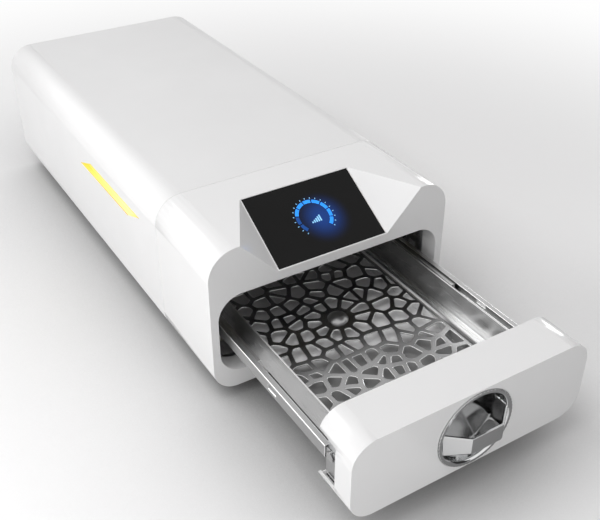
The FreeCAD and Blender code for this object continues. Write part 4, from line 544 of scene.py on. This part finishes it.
glass_centre, glass_normal = flat_face(nodes["screen_glass"], (0, -0.4, 0.9))
glass_up = glass_normal.cross(Vector((1, 0, 0))).normalized()
if glass_up.y < 0:
    glass_up = -glass_up
print("glass centre", tuple(round(value, 4) for value in glass_centre))

# %% [markdown]
# The panel's blue glow is brightest beside the middle of the gauge and falls off outwards. The
# emission follows the distance from that point, with a smooth curve that leaves no visible rim.

# %% Screen glass
glow_across, glow_down, glow_reach, glow_strength = 0.008, 0.003, 0.030, 0.26
glass_sheen = 0.4
black_glass = new_finish("black_glass_finish", (0.018, 0.018, 0.018), 0.05)
vary_gloss(black_glass, noise_at(black_glass, scale=40.0), low=0.03, high=0.07)
tree = black_glass.node_tree
spot = tree.nodes.new("ShaderNodeTexCoord")
from_glow = tree.nodes.new("ShaderNodeVectorMath")
from_glow.operation = "DISTANCE"
from_glow.inputs[1].default_value = (glass_centre + Vector((glow_across, 0, 0))
                                     - glass_up * glow_down)
link(tree, spot.outputs["Object"], from_glow.inputs[0])
glow = ranged(tree, from_glow.outputs["Value"], 0.0, glow_reach, glow_strength, 0.0,
              shape="SMOOTHERSTEP")
shader = shader_of(black_glass)
shader.inputs["Specular IOR Level"].default_value = glass_sheen
shader.inputs["Emission Color"].default_value = (0.02, 0.17, 0.90, 1.0)
link(tree, glow, shader.inputs["Emission Strength"])
finishes["black_glass"] = black_glass
print("glow reaches", glow_reach, "m")

# %% [markdown]
# Each side light is a translucent tub with a lamp behind it. Its rim is orange, its floor is pale
# yellow, and the wall above is a little deeper; towards the rear the whole strip turns stronger.
# So the colour is read off a ramp by height, and then mixed with deep yellow by length. The stops
# sit close together at the height of the tub's floor, to keep the orange line on the rim sharp.

# %% Side lights
light_stops = ((0.0, (0.66, 0.62, 0.46)), (0.160, (0.66, 0.64, 0.50)), (0.175, (0.46, 0.22, 0.03)),
               (0.234, (0.50, 0.26, 0.04)), (0.239, (0.62, 0.58, 0.27)), (0.42, (0.60, 0.55, 0.20)),
               (1.0, (0.50, 0.36, 0.05)))
deep_start, deep_end, deep_share = 0.02, 0.12, 0.75
light_strength = 0.80
low_light, high_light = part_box("side_light_left")
amber = new_finish("amber_light_finish", (0.6, 0.5, 0.1), 0.25)
tree = amber.node_tree
spot = tree.nodes.new("ShaderNodeTexCoord")
parts = tree.nodes.new("ShaderNodeSeparateXYZ")
link(tree, spot.outputs["Object"], parts.inputs[0])
height_share = ranged(tree, parts.outputs["Z"], low_light.z, high_light.z)
rearward = ranged(tree, parts.outputs["Y"], deep_start, deep_end, high=deep_share)
deeper = tree.nodes.new("ShaderNodeMix")
deeper.data_type = "RGBA"
deeper.inputs["B"].default_value = (0.58, 0.45, 0.03, 1.0)
link(tree, rearward, deeper.inputs["Factor"])
link(tree, colour_ramp(amber, height_share, light_stops), deeper.inputs["A"])
shader = shader_of(amber)
for socket in ("Base Color", "Emission Color"):
    link(tree, deeper.outputs["Result"], shader.inputs[socket])
shader.inputs["Emission Strength"].default_value = light_strength
finishes["amber_light"] = amber
print("light from", round(low_light.z, 4), "to", round(high_light.z, 4))

# %% [markdown]
# Each node takes the finish of its slot in the record. Where a mesh brings material slots along,
# the finish is linked to the object and not to the mesh. Only the drip basin has its own finish.

# %% Put the finishes on the nodes
for part in frame["record"]["subparts"]:
    node = nodes[part["node"]]
    # The drip basin's finish carries its painted reflection and shade.
    finish = basin_steel_painted_reflection if part["node"] == "tray_basin" else finishes[part["material_slot"]]
    for material_slot in node.material_slots:
        material_slot.link = "OBJECT"
        material_slot.material = finish
    if not node.material_slots:
        node.data.materials.append(finish)

# %% [markdown]
# A real edge is never perfectly sharp, so it always catches a line of light. A small bevel modifier
# rounds the edges and leaves the mesh alone. Weld comes first, since the imported faces don't share
# their corners, and a bevel needs shared edges.
# The tray's and the rails' bevels take a near-white steel, a painted highlight for the bright line
# along their cut and polished edges. The bezel rounds only edges that turn by 55 degrees or more:
# with the usual 30, one of its corners rose 0.1 mm above the casing.

# %% Soften the edges
usual_width, usual_crease = 0.0003, 30
edge_widths = {"case_cover": 0.0004, "front_bezel": 0.0004, "door_shell": 0.0008,
               "knob_ring": 0.00025}
edge_creases = {"front_bezel": 55}
painted_highlight_edges = {"tray_frame": 0.0005, "tray_basin": 0.0005, "middle_rail_left": 0.0005,
                "middle_rail_right": 0.0005, "drawer_rail_left": 0.0006,
                "drawer_rail_right": 0.0006}
for name, node in nodes.items():
    weld = node.modifiers.new("weld", "WELD")
    weld.merge_threshold = 0.00001
    bevel = node.modifiers.new("edge", "BEVEL")
    bevel.width = edge_widths.get(name, usual_width)
    bevel.segments = 2
    bevel.limit_method = "ANGLE"
    bevel.angle_limit = math.radians(edge_creases.get(name, usual_crease))
    bevel.harden_normals = True
    # These bevels take the near-white edge steel, a painted highlight.
    if name in painted_highlight_edges:
        node.data.materials.append(edge_steel_painted_highlight)
        bevel.material = len(node.material_slots) - 1
        bevel.width = painted_highlight_edges[name]
print("bevelled", len(nodes), "nodes,", len(painted_highlight_edges), "with bright edges")

# %% [markdown]
# The loose tray plate is laser-cut steel: a web of irregular openings with small rounded corners
# and a fine burr-free edge. The CAD plate has the same openings with sharper corners and no edge
# break. They could be drawn again by hand, but reading them off the node keeps both plates alike.
# The outline of an opening is a chain of edges that have one upward face each.

# %% Read the openings of the plate
def flat_outlines(node, height):
    """Closed outlines of a node's upward face at one height."""
    work = bmesh.new()
    work.from_mesh(node.data)
    bmesh.ops.remove_doubles(work, verts=work.verts, dist=0.000001)
    next_to = {}
    for edge in work.edges:
        upward = [face for face in edge.link_faces if face.normal.z > 0.9
                  and abs(face.calc_center_median().z - height) < 0.00001]
        if len(upward) == 1:
            first, second = edge.verts
            next_to.setdefault(first, []).append(second)
            next_to.setdefault(second, []).append(first)
    outlines = []
    while next_to:
        start = next(iter(next_to))
        outline, here = [start.co.copy()], start
        while next_to.get(here):
            step = next_to[here].pop()
            if here in next_to.get(step, []):
                next_to[step].remove(here)
            if not next_to[here]:
                del next_to[here]
            here = step
            if here is start:
                break
            outline.append(here.co.copy())
        if start in next_to and not next_to[start]:
            del next_to[start]
        if len(outline) > 2:
            outlines.append(outline)
    work.free()
    return outlines


plate_low, plate_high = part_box("perforated_tray")
plate_outlines = flat_outlines(nodes["perforated_tray"], plate_high.z)
print("plate outlines", len(plate_outlines),
      "points", sum(len(outline) for outline in plate_outlines))

# %% [markdown]
# A laser rounds each corner of an opening as it turns. Three points per corner are enough for that:
# a curve that starts on one side, is pulled towards the corner, and ends on the other side.
# Corners that are nearly straight are left, so that long smooth curves don't get flats.

# %% Round the corners
corner_reach, corner_steps, side_share = 0.0024, 4, 0.45
nearly_straight = math.radians(172)


def rounded_outline(outline):
    """Outline with each corner replaced by a short curve."""
    points = []
    for index, corner in enumerate(outline):
        before = outline[index - 1] - corner
        after = outline[(index + 1) % len(outline)] - corner
        start = corner + before.normalized() * min(corner_reach, before.length * side_share)
        end = corner + after.normalized() * min(corner_reach, after.length * side_share)
        if before.angle(after) > nearly_straight:
            points.append(corner)
            continue
        for step in range(corner_steps + 1):
            share = step / corner_steps
            points.append(start * (1 - share) ** 2 + corner * 2 * share * (1 - share)
                          + end * share ** 2)
    return points


print("corners rounded over", corner_reach * 1000, "mm")

# %% [markdown]
# The plate's webs are a little wider than in CAD, because each opening shrinks towards its middle.
# Points near the middle of the plate are moved out, which leaves a round boss under the dome.
# The rim is pulled in, because the filled curve of the next step grows outwards again.

# %% Shape the plate
boss_reach, near_rim = 0.0145, 0.0001
web_growth, hole_shrink, rim_share = 0.0007, 0.0005, 1.4
plate_middle = (plate_low + plate_high) / 2
plate_shapes = []
for outline in plate_outlines:
    rounded = rounded_outline(outline)
    for point in rounded:
        away = Vector((point.x - plate_middle.x, point.y - plate_middle.y))
        if away.length < boss_reach:
            point.xy = plate_middle.xy + away.normalized() * boss_reach
    if max(point.x for point in outline) > plate_high.x - near_rim:
        rounded = [point - (point - plate_middle).normalized() * web_growth * rim_share
                   for point in rounded]
    else:
        middle = sum(rounded, Vector()) / len(rounded)
        reach = sum((point - middle).length for point in rounded) / len(rounded)
        rounded = [middle + (point - middle) * (1 - hole_shrink / reach) for point in rounded]
    plate_shapes.append(rounded)
print("plate shapes", len(plate_shapes), "points", sum(len(shape) for shape in plate_shapes))

# %% [markdown]
# A filled 2D curve makes the plate: its outlines are the rim and the openings, extrude gives the
# thickness, and its bevel rounds the cut edge. A boolean with a hundred cutters would be slower and
# would leave no soft edge. The curve is turned into a mesh, so that the flat faces and the cut
# edges can have two different steels: the brighter one on the edges is a painted highlight.

# %% Tray plate
plate_thickness = plate_high.z - plate_low.z
edge_break = 0.0004
flat_enough = 0.97
plate_curve = bpy.data.curves.new("tray_plate_outline", "CURVE")
plate_curve.dimensions = "2D"
plate_curve.fill_mode = "BOTH"
plate_curve.extrude = plate_thickness / 2 - edge_break
plate_curve.bevel_depth = edge_break
plate_curve.bevel_resolution = 2
plate_curve.offset = web_growth - edge_break
for shape in plate_shapes:
    spline = plate_curve.splines.new("POLY")
    spline.points.add(len(shape) - 1)
    for point, place in zip(spline.points, shape):
        point.co = (place.x, place.y, 0.0, 1.0)
    spline.use_cyclic_u = True
pattern = bpy.data.objects.new("tray_plate_outline", plate_curve)
bpy.context.scene.collection.objects.link(pattern)
pattern.location.z = (plate_low.z + plate_high.z) / 2
bpy.context.view_layer.update()
filled = pattern.evaluated_get(bpy.context.evaluated_depsgraph_get())
plate_mesh = bpy.data.meshes.new_from_object(filled)
tray_plate = bpy.data.objects.new("tray_plate", plate_mesh)
tray_plate.location = pattern.location
bpy.context.scene.collection.objects.link(tray_plate)
bpy.data.objects.remove(pattern)
plate_mesh.shade_smooth()
plate_mesh.set_sharp_from_angle(angle=math.radians(35))
plate_mesh.materials.clear()
# The plate's darker steel is a painted reflection of the dark mouth.
plate_mesh.materials.append(plate_steel_painted_reflection)
plate_mesh.materials.append(edge_steel_painted_highlight)
# Cut edges take the near-white edge steel, a painted highlight.
for face in plate_mesh.polygons:
    face.material_index = 0 if abs(face.normal.z) > flat_enough else 1
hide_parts("perforated_tray")
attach(tray_plate, "drawer")
print("plate faces", len(plate_mesh.polygons))

# %% [markdown]
# The tray frame's flat ledges carry two low pressed ribs on each side, which stiffen the sheet.
# Their thin lines of light are a painted highlight: the ribs are made of the near-white edge steel.
# Each is a long block with softened edges, sunk a little into the ledge.
# A bump could fake them from afar, but a raised block also gives the line its shadow side.

# %% Ledge ribs
def block_mesh(name, low, high):
    """Closed box between two corners."""
    points = [(x, y, z) for x in (low[0], high[0]) for y in (low[1], high[1])
              for z in (low[2], high[2])]
    faces = [(0, 1, 3, 2), (4, 6, 7, 5), (0, 4, 5, 1), (2, 3, 7, 6), (0, 2, 6, 4), (1, 5, 7, 3)]
    return mesh_object(name, points, faces)


def soften(piece, width):
    """Round a piece's edges with a small bevel."""
    edge = piece.modifiers.new("edge", "BEVEL")
    edge.width = width
    edge.segments = 2
    return edge


ledge_drop, rib_end_gap, rib_sunk, rib_rise = 0.0268, 0.016, 0.0002, 0.0008
rib_spans = ((0.0862, 0.0872), (0.0902, 0.0914))
frame_low, frame_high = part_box("tray_frame")
ledge_z = frame_high.z - ledge_drop
for side, sign in (("left", -1), ("right", 1)):
    for number, (near, far) in enumerate(rib_spans):
        across = sorted((sign * near, sign * far))
        rib = block_mesh("ledge_rib_%s_%d" % (side, number + 1),
                         (across[0], frame_low.y + rib_end_gap, ledge_z - rib_sunk),
                         (across[1], frame_high.y - rib_end_gap, ledge_z + rib_rise))
        soften(rib, width=0.00035)
        # The ribs are made of the near-white edge steel, a painted highlight.
        rib.data.materials.append(edge_steel_painted_highlight)
        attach(rib, "drawer")
print("ribs at", round(ledge_z, 4))

# %% [markdown]
# The knob's cup and the tray's dome are turned parts, so a profile swept round an axis is the
# natural way to draw them. A Screw modifier would sweep it too, but this helper also closes the
# ends, and marks the edges that stay sharp.

# %% Turned pieces
def turned_piece(name, profile, centre, sides=48):
    """Closed piece from (radius, height) pairs swept round a vertical axis."""
    points, faces = [], []
    for radius, height in profile:
        for side in range(sides):
            angle = 2 * math.pi * side / sides
            points.append((centre[0] + radius * math.cos(angle),
                           centre[1] + radius * math.sin(angle), centre[2] + height))
    for ring in range(len(profile) - 1):
        for side in range(sides):
            after = (side + 1) % sides
            faces.append((ring * sides + side, ring * sides + after,
                          (ring + 1) * sides + after, (ring + 1) * sides + side))
    faces.append(tuple(range(sides))[::-1])
    faces.append(tuple((len(profile) - 1) * sides + side for side in range(sides)))
    piece = mesh_object(name, points, faces)
    piece.data.shade_smooth()
    piece.data.set_sharp_from_angle(angle=math.radians(40))
    return piece


print("turned pieces ready")

# %% [markdown]
# The knob is a chromed cup in the door, with a thin scoop across it that the fingers turn.
# The cup's profile runs from the pole round the inner corner to the mouth, and back along the
# outside, so its wall has a real thickness. Twice the usual number of sides keeps its reflections
# smooth.

# %% Knob cup
knob_low, knob_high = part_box("knob_grip")
knob_x, knob_z = (knob_low.x + knob_high.x) / 2, (knob_low.z + knob_high.z) / 2
grip_reach = 0.014
door_y = knob_low.y + grip_reach
cup_radius, cup_depth, cup_wall, cup_round = 0.034, 0.0138, 0.0015, 0.006
cup_mouth, cup_pole, cup_steps = 0.002, 0.0005, 8
cup_profile = [(cup_pole, cup_depth)]
for step in range(cup_steps + 1):
    angle = math.pi / 2 * step / cup_steps
    cup_profile.append((cup_radius - cup_round + cup_round * math.sin(angle),
                        cup_depth - cup_round + cup_round * math.cos(angle)))
cup_profile += [(cup_radius, cup_mouth), (cup_radius + cup_wall, cup_mouth),
                (cup_radius + cup_wall, cup_depth + cup_wall), (cup_pole, cup_depth + cup_wall)]
knob_cup = turned_piece("knob_cup", cup_profile, (0, 0, 0), sides=96)
knob_cup.data.transform(Matrix.Translation((knob_x, door_y, knob_z))
                        @ Matrix.Rotation(-math.pi / 2, 4, "X"))
knob_cup.data.materials.append(chrome)
print("knob cup", round(cup_radius * 1000, 1), "mm radius")

# %% [markdown]
# The scoop is bent from sheet: six points across at the front, the middle and the rear give its
# flats, and Solidify gives the wall. A solid block would look like a plain bar, because the hollow
# underneath is what shows that a hand goes in there. Its inner faces take the darker chrome, which
# is a painted shade.

# %% Knob scoop
scoop_wall = 0.0018
scoop_front = [(-0.0157, 0.008), (-0.0157, -0.0065), (-0.0145, -0.008), (0.0145, -0.008),
               (0.0157, -0.0065), (0.0157, 0.008)]
scoop_middle = [(-0.0328, 0.008), (-0.0306, -0.0138), (-0.0149, -0.0191), (0.0149, -0.0191),
                (0.0306, -0.0138), (0.0328, 0.008)]
scoop_rear = [(-0.0328, 0.008), (-0.0306, -0.0138), (-0.0150, -0.0295), (0.0150, -0.0295),
              (0.0306, -0.0138), (0.0328, 0.008)]
sections = ((scoop_front, -grip_reach), (scoop_middle, 0.0006), (scoop_rear, cup_depth + 0.0003))
points = [(knob_x + x, door_y + y, knob_z + z) for section, y in sections for x, z in section]
row = len(scoop_front)
faces = [tuple(range(row))]
for first in (0, row):
    for index in range(first, first + row - 1):
        faces.append((index, index + row, index + row + 1, index + 1))
scoop = mesh_object("knob_scoop", points, faces)
wall = scoop.modifiers.new("wall", "SOLIDIFY")
wall.thickness = scoop_wall
wall.offset = -1.0
wall.use_even_offset = True
edge = soften(scoop, width=0.0004)
edge.limit_method = "ANGLE"
edge.harden_normals = True
scoop.data.materials.append(chrome)
# The inner shell takes the darker chrome, a painted shade.
scoop.data.materials.append(chrome_painted_shade)
wall.material_offset = 1
for piece in (knob_cup, scoop):
    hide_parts("knob_grip")
    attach(piece, "knob")
print("scoop wall", scoop_wall * 1000, "mm")

# %% [markdown]
# A small polished dome closes the middle of the plate. It is turned as well, from a quarter of an
# ellipse on a low straight rim, and it takes its width and height from the CAD dome.

# %% Tray dome
dome_low, dome_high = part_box("tray_dome")
dome_radius = (dome_high.x - dome_low.x) / 2
dome_rise = dome_high.z - dome_low.z
rim_rise, dome_shoulder, dome_steps = 0.1, 0.97, 12
dome_profile = [(dome_radius, 0.0), (dome_radius, dome_rise * rim_rise)]
for step in range(1, dome_steps):
    angle = math.pi / 2 * step / dome_steps
    dome_profile.append((dome_radius * math.cos(angle) * dome_shoulder,
                         dome_rise * (rim_rise + (1 - rim_rise) * math.sin(angle))))
tray_cap = turned_piece("tray_cap", dome_profile, ((dome_low.x + dome_high.x) / 2,
                                                   (dome_low.y + dome_high.y) / 2, dome_low.z))
# The cap's darker steel is a painted reflection of the dark mouth.
tray_cap.data.materials.append(cap_steel_painted_reflection)
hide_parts("tray_dome")
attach(tray_cap, "drawer")
print("dome", round(dome_radius * 1000, 1), "mm radius")

# %% [markdown]
# The screen shows a plain readout: a round gauge with ticks around it and rising level bars in it.
# Thin raised shapes that give light stand in for the lit pixels, so they need no image.
# They are laid out in the glass's own plane, from its centre, along its width and its slope.

# %% Shapes on the glass
slab_low, slab_high = -0.00005, 0.00012


def on_glass(across, up, rise):
    """Point over the glass from its centre, in metres."""
    return glass_centre + Vector((1, 0, 0)) * across + glass_up * up + glass_normal * rise


def glass_slab(points, faces, outline):
    """Thin slab on the glass from a flat outline of (across, up) pairs."""
    first = len(points)
    for rise in (slab_low, slab_high):
        points.extend(on_glass(across, up, rise) for across, up in outline)
    count = len(outline)
    faces.append(tuple(first + index for index in range(count))[::-1])
    faces.append(tuple(first + count + index for index in range(count)))
    for index in range(count):
        after = (index + 1) % count
        faces.append((first + index, first + after, first + count + after, first + count + index))


def arc_outline(inner, outer, start, end, steps):
    """Flat ring sector, angles in degrees."""
    angles = [math.radians(start + (end - start) * step / steps) for step in range(steps + 1)]
    outside = [(outer * math.cos(angle), outer * math.sin(angle)) for angle in angles]
    inside = [(inner * math.cos(angle), inner * math.sin(angle)) for angle in reversed(angles)]
    return outside + inside


def readout_piece(name, outlines, finish):
    """Slabs on the glass joined into one piece."""
    points, faces = [], []
    for outline in outlines:
        glass_slab(points, faces, outline)
    piece = mesh_object(name, points, faces)
    piece.data.materials.append(finish)
    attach(piece, "casing")


print("readout slabs rise", slab_high * 1000, "mm over the glass")

# %% [markdown]
# Lit pixels are black when they are off and give their own colour when they are on. So the finish
# has a dark base, and its emission varies a little, as a real backlight does.

# %% Lit finishes
def lit_finish(name, colour, strength):
    """Lit pixels: a dark face with its own light, slightly uneven."""
    finish = new_finish(name, tuple(value * 0.2 for value in colour), 0.3)
    shader = shader_of(finish)
    shader.inputs["Emission Color"].default_value = (*colour, 1.0)
    uneven = ranged(finish.node_tree, noise_at(finish, scale=300.0, detail=1.0),
                    low=strength * 0.8, high=strength * 1.2)
    link(finish.node_tree, uneven, shader.inputs["Emission Strength"])
    return finish


bright_blue = lit_finish("bright_blue_pixels", (0.03, 0.30, 1.0), 1.1)
pale_blue = lit_finish("pale_blue_pixels", (0.30, 0.65, 1.0), 1.0)
dim_blue = lit_finish("dim_blue_pixels", (0.02, 0.12, 0.50), 0.5)
print("lit finishes ready")

# %% [markdown]
# The gauge runs from lower right over the top to lower left, in short arcs with gaps between them.
# The last two arcs are dim, which reads as the part of the cycle that is still to come.
# A tick stands outside every half arc. Each piece of the ring is given by two radii and two angles.

# %% Gauge
gauge_radius, arc_half = 0.0165, 0.0017
arc_pitch, arc_span, arc_steps = 30, 26, 8
gauge_start, lit_end, gauge_end = -45, 165, 225
tick_inner, tick_outer, tick_half, tick_pitch = 0.0029, 0.0042, 0.9, 15


def gauge_arcs(start, end):
    """Short arcs with gaps from one angle to another."""
    return [arc_outline(gauge_radius - arc_half, gauge_radius + arc_half,
                        angle, angle + arc_span, arc_steps)
            for angle in range(start, end, arc_pitch)]


arcs, rest = gauge_arcs(gauge_start, lit_end), gauge_arcs(lit_end, gauge_end)
ticks = [arc_outline(gauge_radius + tick_inner, gauge_radius + tick_outer,
                     angle - tick_half, angle + tick_half, 1)
         for angle in range(gauge_start, gauge_end + 1, tick_pitch)]
readout_piece("gauge_arc", arcs, bright_blue)
readout_piece("gauge_rest", rest, dim_blue)
readout_piece("gauge_ticks", ticks, pale_blue)
print("arcs", len(arcs), "dim", len(rest), "ticks", len(ticks))

# %% [markdown]
# Five bars stand side by side in the gauge on one foot line, each a step taller than the last.
# They fill the middle of the ring without any text. Flat slabs do for them as for the ring.

# %% Level bars
bar_left, bar_foot, bar_pitch, bar_width = -0.0048, -0.0060, 0.0022, 0.0014
bar_shortest, bar_step, bar_count = 0.0016, 0.0012, 5
bars = []
for step in range(bar_count):
    left, top = bar_left + bar_pitch * step, bar_foot + bar_shortest + bar_step * step
    bars.append([(left, bar_foot), (left + bar_width, bar_foot), (left + bar_width, top),
                 (left, top)])
readout_piece("gauge_bars", bars, pale_blue)
print("bars", len(bars))
